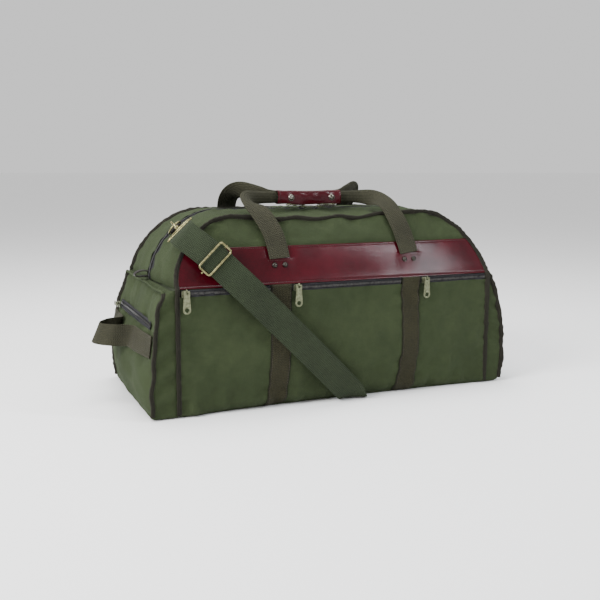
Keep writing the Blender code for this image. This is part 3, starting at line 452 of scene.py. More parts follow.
def sweep(name, line, profile, material, body, hints=None, cad=(), closed=False, sharp=38):
    verts, faces, uv = sweep_data(line, profile, hints, closed)
    return add(name, mesh_from(name, verts, faces, uv), material, body, cad, sharp)


def disc(radius, sides=12, squash=1.0):
    a = np.arange(sides) * 2 * np.pi / sides
    return np.stack([radius * np.cos(a), radius * squash * np.sin(a)], 1)


def slab(width, thickness, across=12, edge=4):
    """Outline of flat webbing with round selvedges."""
    r = thickness / 2
    top = np.linspace(-width / 2 + r, width / 2 - r, across)
    turns = np.linspace(-math.pi / 2, math.pi / 2, edge + 2)[1:-1]
    right = [(width / 2 - r + r * math.cos(a), r * math.sin(a)) for a in turns]
    left = [(-x, -y) for x, y in right]
    return np.array([(x, -r) for x in top] + right + [(x, r) for x in top[::-1]] + left)


class Pieces:
    """Several closed shapes gathered into one object."""

    def __init__(self):
        self.verts, self.faces, self.uv = [], [], []

    def put(self, verts, faces, uv=None):
        base = sum(len(v) for v in self.verts)
        self.verts.append(np.asarray(verts, float))
        for face in faces:
            self.faces.append(tuple(k + base for k in face))
        self.uv += list(uv) if uv is not None else [(0.0, 0.0)] * sum(len(f) for f in faces)

    def tube(self, line, radius, closed=False, sides=10, squash=1.0, hints=None):
        self.put(*sweep_data(np.asarray(line, float), disc(radius, sides, squash), hints, closed))

    def plate(self, outline, holes, depth, bevel, place):
        """Flat plate with round edges; place is a 4x4 matrix and the plate is centred on its w = 0."""
        curve = bpy.data.curves.new("plate", "CURVE")
        curve.dimensions, curve.fill_mode = "2D", "BOTH"
        curve.extrude, curve.bevel_depth, curve.bevel_resolution = depth / 2 - bevel, bevel, 2
        curve.offset = -bevel
        for ring in [outline, *holes]:
            spline = curve.splines.new("POLY")
            spline.points.add(len(ring) - 1)
            for slot_, (u, v) in zip(spline.points, ring):
                slot_.co = (u, v, 0, 1)
            spline.use_cyclic_u = True
        thing = bpy.data.objects.new("plate", curve)
        mesh = bpy.data.meshes.new_from_object(thing)
        mesh.transform(place)
        self.put([v.co[:] for v in mesh.vertices], [tuple(p.vertices) for p in mesh.polygons])
        bpy.data.objects.remove(thing)
        bpy.data.curves.remove(curve)
        bpy.data.meshes.remove(mesh)

    def lathe(self, profile, centre, axis, segments=28):
        """Turned shape: profile points are (radius, height along the axis), from the rim to the tip."""
        axis = unit(np.array(axis, float))
        side = unit(np.cross(axis, X if abs(axis[0]) < 0.9 else Y))
        other = np.cross(axis, side)
        turn = np.arange(segments) * 2 * np.pi / segments
        ring = side * np.cos(turn)[:, None] + other * np.sin(turn)[:, None]
        verts = [np.array(centre) + ring * r + axis * h for r, h in profile]
        faces = []
        for i in range(len(profile) - 1):
            for k in range(segments):
                m = (k + 1) % segments
                low, high = i * segments, (i + 1) * segments
                faces.append((low + k, low + m, high + m, high + k))
        faces.append(tuple(range(segments - 1, -1, -1)))
        faces.append(tuple((len(profile) - 1) * segments + k for k in range(segments)))
        self.put(np.concatenate(verts), faces)

    def stitches(self, line, normals, pitch=0.0033, length=0.0024, radius=0.00036, lift=0.00012):
        """A row of thread stitches lying on a surface."""
        normals = np.broadcast_to(normals, np.shape(line)).astype(float)
        line, normals = resample(np.asarray(line, float), pitch, normals)
        along = unit(np.gradient(line, axis=0))
        normals = unit(normals)
        side = unit(np.cross(along, normals))
        centre = line + normals * lift
        tip = [centre + along * length * end / 2 - normals * radius for end in (-1, 1)]
        rings = []
        for part in (-0.30, 0.30):
            for a, b in ((1, 0), (0, 1), (-1, 0), (0, -0.6)):
                rings.append(centre + along * length * part + side * radius * a + normals * radius * b)
        verts = np.stack([tip[0], *rings, tip[1]], 1)
        shape = [(1, 2, 6, 5), (2, 3, 7, 6), (3, 4, 8, 7), (4, 1, 5, 8), (2, 1, 0), (3, 2, 0), (4, 3, 0),
                 (1, 4, 0), (5, 6, 9), (6, 7, 9), (7, 8, 9), (8, 5, 9)]
        base = (np.arange(len(line)) * 10)[:, None]
        faces = []
        for face in shape:
            faces += (base + np.array(face)).tolist()
        self.put(verts.reshape(-1, 3), faces)

    def teeth(self, line, normals, sides, pitch=0.0017, reach=0.0024, height=0.0011):
        """Interlocked coil of a zipper: short bars standing alternately left and right."""
        line, normals, sides = resample(np.asarray(line, float), pitch / 2, normals, sides)
        along = unit(np.gradient(line, axis=0))
        normals, sides = unit(normals), unit(sides)
        swing = np.where(np.arange(len(line)) % 2 == 0, 1.0, -1.0)[:, None]
        verts = []
        for a, w in ((-0.35, 0), (0.35, 0), (0.35, 1), (-0.35, 1)):
            for b in (-0.35, 1.0):
                reach_here = sides * swing * reach * b
                verts.append(line + along * pitch * 0.9 * a + reach_here + normals * height * w)
        verts = np.stack(verts, 1)
        shape = [(0, 2, 3, 1), (2, 4, 5, 3), (4, 6, 7, 5), (6, 0, 1, 7), (0, 6, 4, 2), (1, 3, 5, 7)]
        base = np.arange(len(line)) * 8
        faces = []
        for k, start in enumerate(base):
            for face in shape:
                face = face if k % 2 == 0 else face[::-1]
                faces.append(tuple(int(start + v) for v in face))
        self.put(verts.reshape(-1, 3), faces)

    def finish(self, name, material, body, slot, cad=(), sharp=38):
        mesh = mesh_from(name, np.concatenate(self.verts), self.faces, self.uv)
        return add(name, mesh, material, body, cad, sharp)


# ---------------------------------------------------------------- the bag's surfaces
def rise(z):
    return np.clip((z - SHOULDER_HEIGHT) / (BODY_HEIGHT - SHOULDER_HEIGHT), 0, 1)


def half_length(z):
    spare = np.clip(1 - rise(z) ** ARCH_POWER, 0, 1)
    return TOP_HALF_LENGTH + (HALF_LENGTH - TOP_HALF_LENGTH) * spare ** (1 / ARCH_POWER)


def half_depth(z):
    return HALF_DEPTH - (HALF_DEPTH - TOP_HALF_WIDTH) * rise(z) ** LEAN_POWER


def panel_depth(x, z, side):
    """Smooth distance of a front or back panel from the middle plane."""
    across = np.clip(1 - (x / half_length(z)) ** 4, 0, 1)
    lower = LOWER_BELLY if side < 0 else BACK_BELLY
    low = lower * np.sin(np.pi * np.clip(z / ZIP_LINE, 0, 1)) ** 2
    high = UPPER_BELLY * np.sin(np.pi * np.clip((z - ZIP_LINE) / (BODY_HEIGHT - ZIP_LINE), 0, 1))
    foot = CORNER_ROUND + (BOTTOM_ROUND - CORNER_ROUND) * across
    under = foot - np.sqrt(np.maximum(foot ** 2 - np.clip(foot - z, 0, foot) ** 2, 0))
    return half_depth(z) + np.where(z < ZIP_LINE, low, high) * across - under


def panel_relief(x, z, side):
    """What sewing, stuffing and handling do to a panel: pinched seams, puckers, soft dents."""
    seed = 11 if side < 0 else 47
    edge = np.clip(half_length(z) - np.abs(x), 0, 1)
    web = np.minimum(np.abs(x - webbing_x(-1, z)), np.abs(x - webbing_x(1, z)))
    to_top, to_zip = np.clip(BODY_HEIGHT - z, 0, 1), np.clip(ZIP_LINE - z, 0, 1)
    inside, lower = step(0.0, 0.030, edge), step(ZIP_LINE, ZIP_LINE - 0.03, z)
    on_band = step(ZIP_LINE - 0.002, ZIP_LINE + 0.008, z) * step(BAND_HIGH + 0.016, BAND_HIGH, z) * (side < 0)
    calm = 1 - 0.97 * on_band
    folds = ridge((x + 0.23) * 0.6 + (z - 0.05), 0.016) + ridge((x - 0.24) * 0.5 - (z - 0.06), 0.014)
    return (-0.0024 * ridge(web, 0.020) * lower
            + 0.0022 * clouds2(x, z * 0.8, 0.115, seed) * inside * calm
            + 0.0010 * clouds2(x * 1.3, z, 0.047, seed + 1) * inside * calm
            + 0.0017 * near(edge, 0.018) * ripple(z + 0.1 * x, 0.021, seed + 2)
            * step(0.0, 0.006, edge) * calm
            + 0.0014 * ridge(web - 0.021, 0.012) * ripple(z, 0.024, seed + 3) * lower
            + 0.0013 * near(to_zip, 0.016) * ripple(x, 0.026, seed + 4) * (z < ZIP_LINE)
            + 0.0020 * near(z, 0.032) * ripple(x, 0.038, seed + 5) * step(0.0, 0.012, z)
            + 0.0024 * folds * lower * inside
            + 0.0020 * near(to_top, 0.013) * step(0.0, 0.006, BODY_HEIGHT - z) * ripple(x, 0.033, seed + 6))


def panel(side, x, z, lift=0.0):
    """Points on a panel at x and z, lifted along the surface's normal."""
    def depth(px, pz):
        return panel_depth(px, pz, side) + panel_relief(px, pz, side)
    x, z = np.broadcast_arrays(np.asarray(x, float), np.asarray(z, float))
    y, tiny = depth(x, z), 0.0006
    slope_x = (depth(x + tiny, z) - depth(x - tiny, z)) / (2 * tiny)
    slope_z = (depth(x, z + tiny) - depth(x, z - tiny)) / (2 * tiny)
    normal = unit(np.stack([-slope_x, np.full_like(x, side), -slope_z], -1))
    return np.stack([x, side * y, z], -1) + normal * np.asarray(lift)[..., None], normal


def slump(points):
    """The front edge of the top hangs a little between the shoulders and waves along its seam."""
    x, y, z = points[..., 0], points[..., 1], points[..., 2]
    front = step(0.0, -0.09, y) * step(0.292, BODY_HEIGHT, z)
    sag, waves = np.exp(-((x + 0.030) / 0.150) ** 4), np.exp(-((x + 0.02) / 0.19) ** 6)
    drop = 0.0085 * sag + 0.0016 * ripple(x, 0.075, 99) * waves
    return points - Z * (front * drop)[..., None]


def arch(count=150):
    """The bag's outline over the top, left to right, evenly spaced: points and outward normals."""
    angle = np.linspace(0, np.pi / 2, 60)
    px = TOP_HALF_LENGTH + (HALF_LENGTH - TOP_HALF_LENGTH) * np.cos(angle) ** (2 / ARCH_POWER)
    pz = SHOULDER_HEIGHT + (BODY_HEIGHT - SHOULDER_HEIGHT) * np.sin(angle) ** (2 / ARCH_POWER)
    quarter = np.stack([px, np.zeros_like(px), pz], 1)
    flat = np.linspace((-TOP_HALF_LENGTH, 0, BODY_HEIGHT), (TOP_HALF_LENGTH, 0, BODY_HEIGHT), 40)
    line = np.vstack([quarter * (-1, 1, 1), flat[1:-1], quarter[::-1]])
    line = resample(line, run_length(line)[-1] / (count - 1))
    tangent = unit(np.gradient(line, axis=0))
    return line, np.stack([-tangent[:, 2], tangent[:, 1], tangent[:, 0]], 1)


ARCH, ARCH_NORMAL = arch()


def webbing_x(end, z):
    return end * WEBBING_X - 0.0025 + WEBBING_SLANT * z / HINGE_Z


def pocket_depth(z, turn):
    """Depth of an end pocket at a height, from its full corner (turn -1) to its slack one (1)."""
    up = np.clip(z / POCKET_HEIGHT, 0, 1)
    full = POCKET_DEPTH * (1 - POCKET_LEAN * up ** 1.5) - POCKET_CLOSE * up ** 20
    slack = SLACK_DEPTH * (1 - SLACK_LEAN * up ** 2.2) + SLACK_BELLY * np.sin(np.pi * up)
    return full + (slack - full) * (turn + 1) / 2


def pocket_belly(y, z):
    return POCKET_BELLY * np.sin(np.pi * np.clip(z / END_ZIP_LINE, 0, 1)) * (1 - (y / HALF_DEPTH) ** 2)


def pocket_face(side, y, z):
    return pocket_depth(z, -side * y / HALF_DEPTH) + pocket_belly(y, z)


# ---------------------------------------------------------------- materials of this bag
make_camera()
make_studio()
CANVAS = canvas_material("olive_canvas", (0.0235, 0.0325, 0.0135))
WEB = webbing_material("brown_webbing", (0.0225, 0.0220, 0.0120))
# The runs' webbing has its colour darkened along both edges, partly for the dark stitch lines and partly as
# painted shade.
RUN_WEB = webbing_material("brown_webbing_sewn_edge_shade", (0.0185, 0.0175, 0.0075), selvedge=WEBBING / 2)
STRAP_WEB = webbing_material("green_webbing", (0.0165, 0.0235, 0.0105))
TAPE = webbing_material("binding_tape", (0.0150, 0.0135, 0.0085), pitch=0.0011)
ZIP_TAPE = webbing_material("zip_tape", (0.020, 0.0195, 0.0225), pitch=0.0010)
LEATHER = leather_material("burgundy_leather", (0.034, 0.0011, 0.0038), rough=0.20)
DARK_LEATHER = leather_material("dark_leather", (0.010, 0.008, 0.007), rough=0.5)
BRASS = metal_material("antique_brass", (0.245, 0.225, 0.110), (0.105, 0.095, 0.045), rough=0.29)
PULL_METAL = metal_material("green_brass", (0.165, 0.176, 0.110), (0.095, 0.100, 0.058), rough=0.33)
NICKEL = metal_material("worn_nickel", (0.160, 0.150, 0.130), (0.060, 0.053, 0.042))
RIVET_METAL = metal_material("dark_rivet", (0.050, 0.046, 0.040), (0.020, 0.018, 0.015), rough=0.25)
COIL = metal_material("zip_coil", (0.060, 0.058, 0.056), (0.025, 0.024, 0.024), rough=0.45)
THREAD = thread_material("brown_thread", (0.030, 0.024, 0.015))
RED_THREAD = thread_material("dark_red_thread", (0.035, 0.006, 0.007))


def joint(name):
    """Position and axis of a CAD joint, as numpy vectors."""
    found = next(j for j in frame["joints"] if j["name"] == name)
    return np.array(found.get("pos_m", (0, 0, 0)), float), np.array(found["axis"], float)


# ---------------------------------------------------------------- shoulder strap
STRAP_ROUTE = [(-0.2790, -0.0930, 0.3070), (-0.2800, -0.1240, 0.3010), (-0.2470, -0.1562, 0.2700),
               (-0.2140, -0.1710, 0.2365), (-0.1850, -0.1800, 0.2075), (-0.1560, -0.1825, 0.1785),
               (-0.1260, -0.1838, 0.1485), (-0.0820, -0.1842, 0.1045), (-0.0400, -0.1834, 0.0625),
               (-0.0130, -0.1800, 0.0350), (0.0060, -0.1740, 0.0170), (0.0165, -0.1635, 0.0055),
               (0.0250, -0.1490, 0.0017), (0.0510, -0.0700, 0.0016), (0.0740, 0.0000, 0.0016),
               (0.0970, 0.0700, 0.0016), (0.1230, 0.1490, 0.0017), (0.1290, 0.1640, 0.0060),
               (0.1340, 0.1715, 0.0190), (0.1420, 0.1745, 0.0500), (0.1620, 0.1755, 0.1100),
               (0.1900, 0.1730, 0.1750), (0.2180, 0.1640, 0.2280), (0.2500, 0.1500, 0.2720),
               (0.2800, 0.1240, 0.3010), (0.2790, 0.0930, 0.3070)]
STRAP_SIDES = {0: (0.70, 0, 0.71), 4: (0.70, 0, 0.71), 9: (0.72, -0.10, 0.68), 10: (0.85, -0.25, 0.42),
               11: (0.95, -0.31, 0.08), 12: (0.95, -0.31, 0), 16: (0.95, -0.31, 0), 17: (0.95, -0.25, -0.08),
               18: (0.95, 0.0, -0.26), 21: (0.92, 0, -0.38), 24: (0.72, 0.0, -0.69), 25: (0.70, 0, -0.71)}


def strap_hints(steps):
    at = np.arange((len(STRAP_ROUTE) - 1) * steps + 1) / steps
    keys = sorted(STRAP_SIDES)
    return unit(np.stack([np.interp(at, keys, [STRAP_SIDES[k][i] for k in keys]) for i in range(3)], 1))


def make_strap():
    steps = 12
    line, hints = curve_through(STRAP_ROUTE, steps), strap_hints(steps)
    verts, faces, uv = sweep_data(line, slab(STRAP, 0.0022, 14), hints)
    verts[:, 2] = np.maximum(verts[:, 2], 0.0003)
    mesh = mesh_from("strap", verts, faces, uv)
    return add("strap", mesh, STRAP_WEB, "bag", ["shoulder_strap"]), line


STRAP_OBJECT, STRAP_LINE = make_strap()


# ---------------------------------------------------------------- canvas body
def make_body():
    columns = np.linspace(-1, 1, 210)[None]
    foot = 0.0008 + 0.0272 * np.linspace(0, 1, 16) ** 1.7
    lower = np.concatenate([foot, np.linspace(0.0305, 0.2036, 62)])[:, None]
    grid, _ = panel(-1, columns * (half_length(lower) - 0.001), lower)
    sheet("front_pocket_canvas", grid, 0.0014, -Y, CANVAS, "bag", ["front_pocket_panel"])
    upper = (BODY_HEIGHT - 0.0015 - (BODY_HEIGHT - 0.2135) * (1 - np.linspace(0, 1, 48)) ** 1.5)[:, None]
    sink = -0.0021 + 0.0021 * step(BAND_HIGH - 0.001, BAND_HIGH + 0.007, upper)
    grid, _ = panel(-1, columns * (half_length(upper) - 0.001), upper, sink + 0 * columns)
    sheet("front_yoke_canvas", slump(grid), 0.0014, -Y, CANVAS, "bag", ["front_panel"])
    back = np.concatenate([lower[:, 0], np.linspace(0.2062, 0.2140, 4), upper[2:, 0]])[:, None]
    grid, _ = panel(1, columns * (half_length(back) - 0.001), back)
    sheet("back_canvas", grid, 0.0014, Y, CANVAS, "bag", ["back_panel"])
    reach = half_depth(ARCH[:, 2]) - 0.0015
    for side, name in ((-1, "front"), (1, "back")):
        part = np.linspace(0, 1, 30)[None]
        y = side * (reach[:, None] + (0.0122 - reach[:, None]) * part)
        s = run_length(ARCH)[:, None] + 0 * y
        edge, inner = reach[:, None] - np.abs(y), np.abs(y) - 0.0122
        relief = 0.0015 * clouds2(s, y, 0.085, 5 + side) * step(0, 0.02, edge) * step(0, 0.02, inner)
        relief += 0.0005 * clouds2(s, y, 0.035, 25 + side)
        relief += 0.0013 * np.exp(-edge / 0.014) * step(0, 0.005, edge) * ripple(s, 0.026, 6 + side)
        relief += 0.0010 * np.exp(-inner / 0.012) * ripple(s, 0.022, 9)
        crown = TOP_CROWN * (1 - (y / np.maximum(reach[:, None], 0.02)) ** 2)
        lift = crown + relief + 0.0007 * np.exp(-inner / 0.003)
        grid = ARCH[:, None] + ARCH_NORMAL[:, None] * lift[..., None] + Y * y[..., None]
        sheet(f"top_canvas_{name}", slump(grid), 0.0014, Z, CANVAS, "bag", [f"top_gusset_{name}"])


def make_band():
    """Leather band across the front; it bulges below each slit where a handle's web goes behind it."""
    columns = np.linspace(-1, 1, 300)[None]
    z = np.linspace(BAND_LOW, BAND_HIGH, 64)[:, None]
    x = columns * (half_length(z) - 0.0015)
    lift = 0.0005 + 0 * x
    for centre in (webbing_x(-1, HINGE_Z), webbing_x(1, HINGE_Z)):
        mask = np.exp(-((x - centre) / 0.0225) ** 4)
        below = step(HINGE_Z + 0.0006, HINGE_Z - 0.0012, z) * near(np.clip(HINGE_Z - z, 0, 1), 0.016)
        lift = lift + mask * (0.0015 * below - 0.0012 * step(HINGE_Z - 0.0006, HINGE_Z + 0.0008, z))
    lift = lift + 0.00012 * clouds2(x, z, 0.090, 71)
    for depth, seam in ((0.0007, BAND_LOW + 0.0030), (0.0005, BAND_HIGH - 0.0028)):
        lift = lift - depth * near(np.abs(z - seam), 0.0010)
    grid, _ = panel(-1, x, z, lift)
    sheet("leather_band_skin", grid, 0.0019, -Y, LEATHER, "bag", ["leather_band"])
    sewing = Pieces()
    for height in (BAND_LOW + 0.0030, BAND_HIGH - 0.0028):
        at = np.linspace(-0.985, 0.985, 400) * half_length(height)
        sewing.stitches(*panel(-1, at, height, 0.0004))
    for centre in (webbing_x(-1, HINGE_Z), webbing_x(1, HINGE_Z)):
        sewing.stitches(*panel(-1, centre + np.linspace(-0.021, 0.021, 20), HINGE_Z - 0.0050, 0.0028))
    sewing.finish("band_stitching", RED_THREAD, "bag", "band_leather")


def make_front_and_back_webbing():
    sewing = Pieces()
    for side, face in ((-1, "front"), (1, "back")):
        top = 0.2158 if side < 0 else HINGE_Z - 0.0008
        foot = 0.0012 + 0.0270 * np.linspace(0, 1, 14) ** 1.6
        z = np.concatenate([foot, np.linspace(0.0310, top, 90)])[:, None]
        for end, name in ((-1, "left"), (1, "right")):
            across = np.linspace(-WEBBING / 2, WEBBING / 2, 15)[None]
            x = webbing_x(end, z) + across + 0.0006 * ripple(z, 0.07, 31 + end)
            lift = 0.0021 - 0.0016 * step(0.2100, 0.2158, z) * (side < 0) + 0 * x
            grid, _ = panel(side, x, z, lift)
            sheet(f"{face}_run_{name}", grid, 0.0021, Y * side, RUN_WEB, "bag",
                  [f"{face}_webbing_{name}"])
            for offset in (-WEBBING / 2 + 0.0026, WEBBING / 2 - 0.0026):
                at = np.linspace(0.012, min(top, 0.2105), 160)
                sewing.stitches(*panel(side, webbing_x(end, at) + offset, at, 0.0021))
            if side > 0:
                for low, high in ((0, 0), (1, 1), (0, 1), (1, 0)):
                    ax, az = np.linspace((-1, low), (1, high), 30).T
                    sewing.stitches(*panel(1, webbing_x(end, 0.235) + ax * 0.0155, 0.2220 + az * 0.031,
                                           0.0021))
    sewing.finish("webbing_stitching", THREAD, "bag", "webbing")


def make_bindings():
    sewing = Pieces()
    for side, name in ((-1, "front"), (1, "back")):
        top = ARCH + Y * side * half_depth(ARCH[:, 2])[:, None]
        z = np.linspace(0.0050, 0.2100, 60)
        legs = [np.stack([end * HALF_LENGTH + 0 * z, side * HALF_DEPTH + 0 * z, z], 1) for end in (-1, 1)]
        line = slump(np.vstack([legs[0], top, legs[1][::-1]]))
        outward = np.vstack([np.tile(-X, (60, 1)), ARCH_NORMAL, np.tile(X, (60, 1))]) * 0.82 + Y * side * 0.57
        line, outward = resample(line, 0.0028, outward)
        s = run_length(line)
        wave = 1 + 0.07 * ripple(s, 0.011, 3 + side)[:, None, None]
        outline = disc(1.0, 16)[None] * np.array([0.0054, 0.0029]) * wave
        outline = outline + np.stack([0.0005 * ripple(s, 0.045, 8 + side), 0 * s], 1)[:, None]
        sweep(f"{name}_piping", line, outline, TAPE, "bag", outward, [f"{name}_binding"], sharp=80)
        _, width, face = frames(line, outward)
        for way in (-1, 1):
            sewing.stitches(line - width * 0.0022 + face * 0.0027 * way, face * way, pitch=0.0036)
    for side, name in ((-1, "left"), (1, "right")):
        z = np.linspace(0.007, 0.203, 60)
        y = np.linspace(-HALF_DEPTH + 0.006, HALF_DEPTH - 0.006, 70)
        crest = HALF_LENGTH + pocket_depth(0.208, -side * y / HALF_DEPTH) + 0.0030
        over = np.stack([side * crest, y, 0.2112 + 0.0012 * ripple(y, 0.11, 4)], 1)
        legs = []
        for way in (-1, 1):
            reach = HALF_LENGTH + pocket_depth(z, -side * way) + 0.0012 + 0.0012 * ripple(z, 0.06, 40 + way)
            legs.append(np.stack([side * reach, way * (HALF_DEPTH + 0.0012) + 0 * z, z], 1))
        facing = [np.tile(unit(np.array([side, 0.9 * way, 0])), (60, 1)) for way in (-1, 1)]
        line = np.vstack([legs[0], over, legs[1][::-1]])
        out = np.vstack([facing[0], np.tile(unit(np.array([side, 0, 0.9])), (70, 1)), facing[1]])
        line, out = resample(line, 0.0028, out)
        for _ in range(4):
            line[1:-1] = (line[:-2] + line[1:-1] * 2 + line[2:]) / 4
            out[1:-1] = unit(out[:-2] + out[1:-1] * 2 + out[2:])
        s = run_length(line)
        line = line - out * (0.0024 * step(0.215, 0.205, line[:, 2:]))
        wave = 1 + 0.09 * ripple(s, 0.012, 13 + side)[:, None, None]
        outline = disc(1.0, 16)[None] * np.array([0.0050, 0.0030]) * wave
        _, width, face = frames(line, out)
        top = np.nonzero(line[:, 2] > 0.2065)[0]
        spans = (("front", 0, top[0] + 2, TAPE), ("crest", top[0], top[-1] + 1, CANVAS),
                 ("back", top[-1] - 1, len(line), TAPE))
        for part, low, high, look in spans:
            shape = outline[low:high] * (0.8 if part == "crest" else 1.0)
            cut = slice(low, high)
            sweep(f"{name}_pocket_piping_{part}", line[cut], shape, look, "bag", out[cut],
                  [f"{name}_pocket_binding"] if part == "front" else None, sharp=80)
            for way in (-1, 1) if part != "crest" else ():
                at = line[cut] - width[cut] * 0.0020 + face[cut] * 0.0025 * way
                sewing.stitches(at, face[cut] * way, pitch=0.0036)
    sewing.finish("piping_stitching", THREAD, "bag", "binding")


# ---------------------------------------------------------------- end pockets
def pocket_outline(side, z, count):
    """Depth and y along one level of an end pocket, from its front root round the face to its back root."""
    halves = []
    for way in (-1, 1):
        depth = pocket_depth(z, -side * way)
        half = HALF_DEPTH - 0.008 * (1 - min(depth / 0.012, 1.0))
        corner = min(POCKET_ROUND * 0.8, depth * 0.4)
        wall = np.array([(0.0025, half), (max(depth - corner, 0.0030), half)])
        bend = np.array([(depth - corner + corner * math.sin(a), half - corner + corner * math.cos(a))
                         for a in np.linspace(0.3, math.pi / 2, 5)])
        y = np.linspace(half - corner, 0, 40)[1:]
        face = pocket_face(side, y * way, z)
        step_in = pocket_face(side, (half - corner) * way, z) - depth
        face = np.stack([face - step_in * np.exp(-(half - corner - y) / 0.02), y], 1)
        halves.append(np.vstack([wall, bend, face]) * (1, way))
    line = np.vstack([halves[0], halves[1][-2::-1]])
    return resample(line, run_length(line)[-1] / (count - 1))[:count]


def make_end_pockets():
    columns = 150
    levels = np.concatenate([[0.0012, 0.0016, 0.0030, 0.0055], np.linspace(0.009, POCKET_HEIGHT, 66)])
    for side, name in ((-1, "left"), (1, "right")):
        rows = []
        for z in levels:
            line = pocket_outline(side, z, columns)
            if z < 0.003:
                line = line * (1, 0.985) - (0.004, 0)
            elif z < 0.005:
                line = line * (1, 0.996) - (0.001, 0)
            x = side * (HALF_LENGTH + 0.0004 + np.maximum(line[:, 0], 0.001))
            rows.append(np.stack([x, line[:, 1], np.full(columns, z)], 1))
        grid = np.array(rows)
        y, z = grid[..., 1], grid[..., 2]
        depth = np.abs(grid[..., 0]) - HALF_LENGTH
        on_wall = step(-0.004, 0.004, np.abs(y) - HALF_DEPTH + 0.006)
        seam = np.exp(-np.clip(HALF_DEPTH - np.abs(y), 0, 1) / 0.010) * (1 - on_wall)
        relief = 0.0019 * clouds2(y, z, 0.095, 80 + side) * (1 - on_wall) * step(0, 0.03, z)
        relief += 0.0008 * clouds2(y, z, 0.038, 90 + side) * (1 - on_wall)
        relief += 0.0013 * seam * ripple(z, 0.020, 60 + side)
        relief += 0.0012 * np.exp(-np.abs(z - END_ZIP_LINE) / 0.010) * ripple(y, 0.026, 61)
        relief += 0.0013 * np.exp(-(POCKET_HEIGHT - z) / 0.012) * ripple(y, 0.024, 62)
        wall_folds = ripple(z + depth * 0.4, 0.030, 63 + side) * np.sin(np.pi * np.clip(depth / 0.045, 0, 1))
        relief += on_wall * (0.0017 * wall_folds - 0.0004)
        relief -= 0.0010 * np.exp(-((z - END_ZIP_LINE) / 0.006) ** 2) * (1 - on_wall)
        hold = step(0, 0.008, z) * step(0.0, 0.006, POCKET_HEIGHT - z)
        normals = grid_normals(grid)
        middle = normals[35, columns // 2]
        if middle[0] * side < 0:
            normals = -normals
        grid = grid + normals * (relief * hold)[..., None]
        sheet(f"{name}_pocket_canvas", grid, 0.0014, X * side, CANVAS, "bag",
              [f"{name}_end_pocket"])


def end_face(side, y, z, lift):
    y, z = np.broadcast_arrays(np.asarray(y, float), np.asarray(z, float))
    tiny = 0.0006
    slope_y = (pocket_face(side, y + tiny, z) - pocket_face(side, y - tiny, z)) / (2 * tiny)
    slope_z = (pocket_face(side, y, z + tiny) - pocket_face(side, y, z - tiny)) / (2 * tiny)
    normal = unit(np.stack([np.full_like(y, side), -slope_y, -slope_z], -1))
    surface = np.stack([side * (HALF_LENGTH + 0.0004 + pocket_face(side, y, z)), y, z], -1)
    return surface + normal * lift, normal


# ---------------------------------------------------------------- zippers
def make_zippers():
    coils = Pieces()
    spans = {"left": (-0.2985, -0.1425), "center": (-0.1012, 0.1150), "right": (0.1560, 0.2985)}
    for name, (start, end) in spans.items():
        x = np.linspace(start, end, 90)[None]
        z = ZIP_LINE + np.linspace(-0.0066, 0.0070, 17)[:, None]
        fold = -0.0012 + 0.0013 * ridge(np.abs(z - ZIP_LINE) - 0.0042, 0.0012) + 0.0002 * ripple(x, 0.03, 21)
        grid, _ = panel(-1, x, z, fold)
        sheet(f"front_tape_{name}", grid, 0.0009, -Y, ZIP_TAPE, "bag", [f"front_zipper_{name}"])
        at = np.linspace(start, end, 200)
        line, normal = panel(-1, at, ZIP_LINE, -0.0008)
        coils.teeth(line, normal, np.tile(Z, (200, 1)))
    y = np.linspace(-0.0136, 0.0136, 17)[None]
    fold = -0.0006 + 0.0010 * ridge(np.abs(y) - 0.0075, 0.0016)
    lift = TOP_CROWN * (1 - (y / 0.11) ** 2) + fold + 0.0003 * ripple(run_length(ARCH)[:, None], 0.035, 22)
    grid = ARCH[:, None] + ARCH_NORMAL[:, None] * lift[..., None] + Y * (y + 0 * lift)[..., None]
    sheet("main_zip_tape", grid, 0.0010, Z, ZIP_TAPE, "bag", ["main_zipper"])
    line = ARCH + ARCH_NORMAL * (TOP_CROWN - 0.0004)
    coils.teeth(line, ARCH_NORMAL, np.tile(Y, (len(ARCH), 1)), pitch=0.0021, reach=0.0030, height=0.0013)
    for side, name in ((-1, "left"), (1, "right")):
        y = np.linspace(-0.128, 0.128, 80)[None]
        z = END_ZIP_LINE + np.linspace(-0.0075, 0.0075, 17)[:, None]
        fold = 0.0009 + 0.0012 * ridge(np.abs(z - END_ZIP_LINE) - 0.0045, 0.0013)
        fold = fold + 0.0003 * ripple(y, 0.04, 23)
        grid, _ = end_face(side, y, z, fold[..., None])
        sheet(f"{name}_end_tape", grid, 0.0010, X * side, ZIP_TAPE, "bag", [f"{name}_end_zipper"])
        at = np.linspace(-0.127, 0.127, 160)
        line, normal = end_face(side, at, END_ZIP_LINE, 0.0012)
        coils.teeth(line, normal, np.tile(Z, (160, 1)))
    coils.finish("zip_coils", COIL, "bag", "zip_tape")


def matrix_at(origin, u, v, w):
    place = Matrix((Vector(u), Vector(v), Vector(w))).transposed().to_4x4()
    place.translation = Vector(origin)
    return place


def shield(length, width):
    """Slider plate: wide at its mouth, rounded at its tail."""
    half = width / 2
    right = [(length / 2 - 0.0016, 0.62), (length / 2, 0.30)]
    left = [(-length / 2, 0.72), (-length / 2 + 0.0020, 1), (0.0010, 1)]
    outline = right + [(u, -v) for u, v in right[::-1]] + [(u, -v) for u, v in left[::-1]] + left
    return [(u, half * v) for u, v in outline]


# The slider's bridge over the pull's bar, and the small tab of the end pockets' sliders.
SLIDER_BRIDGE = [(-0.0032, -0.0030), (-0.0031, 0.0002), (-0.0022, 0.0016), (-0.0006, 0.0021),
                 (0.0010, 0.0018), (0.0018, 0.0004), (0.0016, -0.0016), (0.0010, -0.0030)]
END_TAB = [(-0.0032, 0.0), (0.0032, 0.0), (0.0044, -0.0150), (0.0028, -0.0185), (-0.0028, -0.0185),
           (-0.0044, -0.0150)]


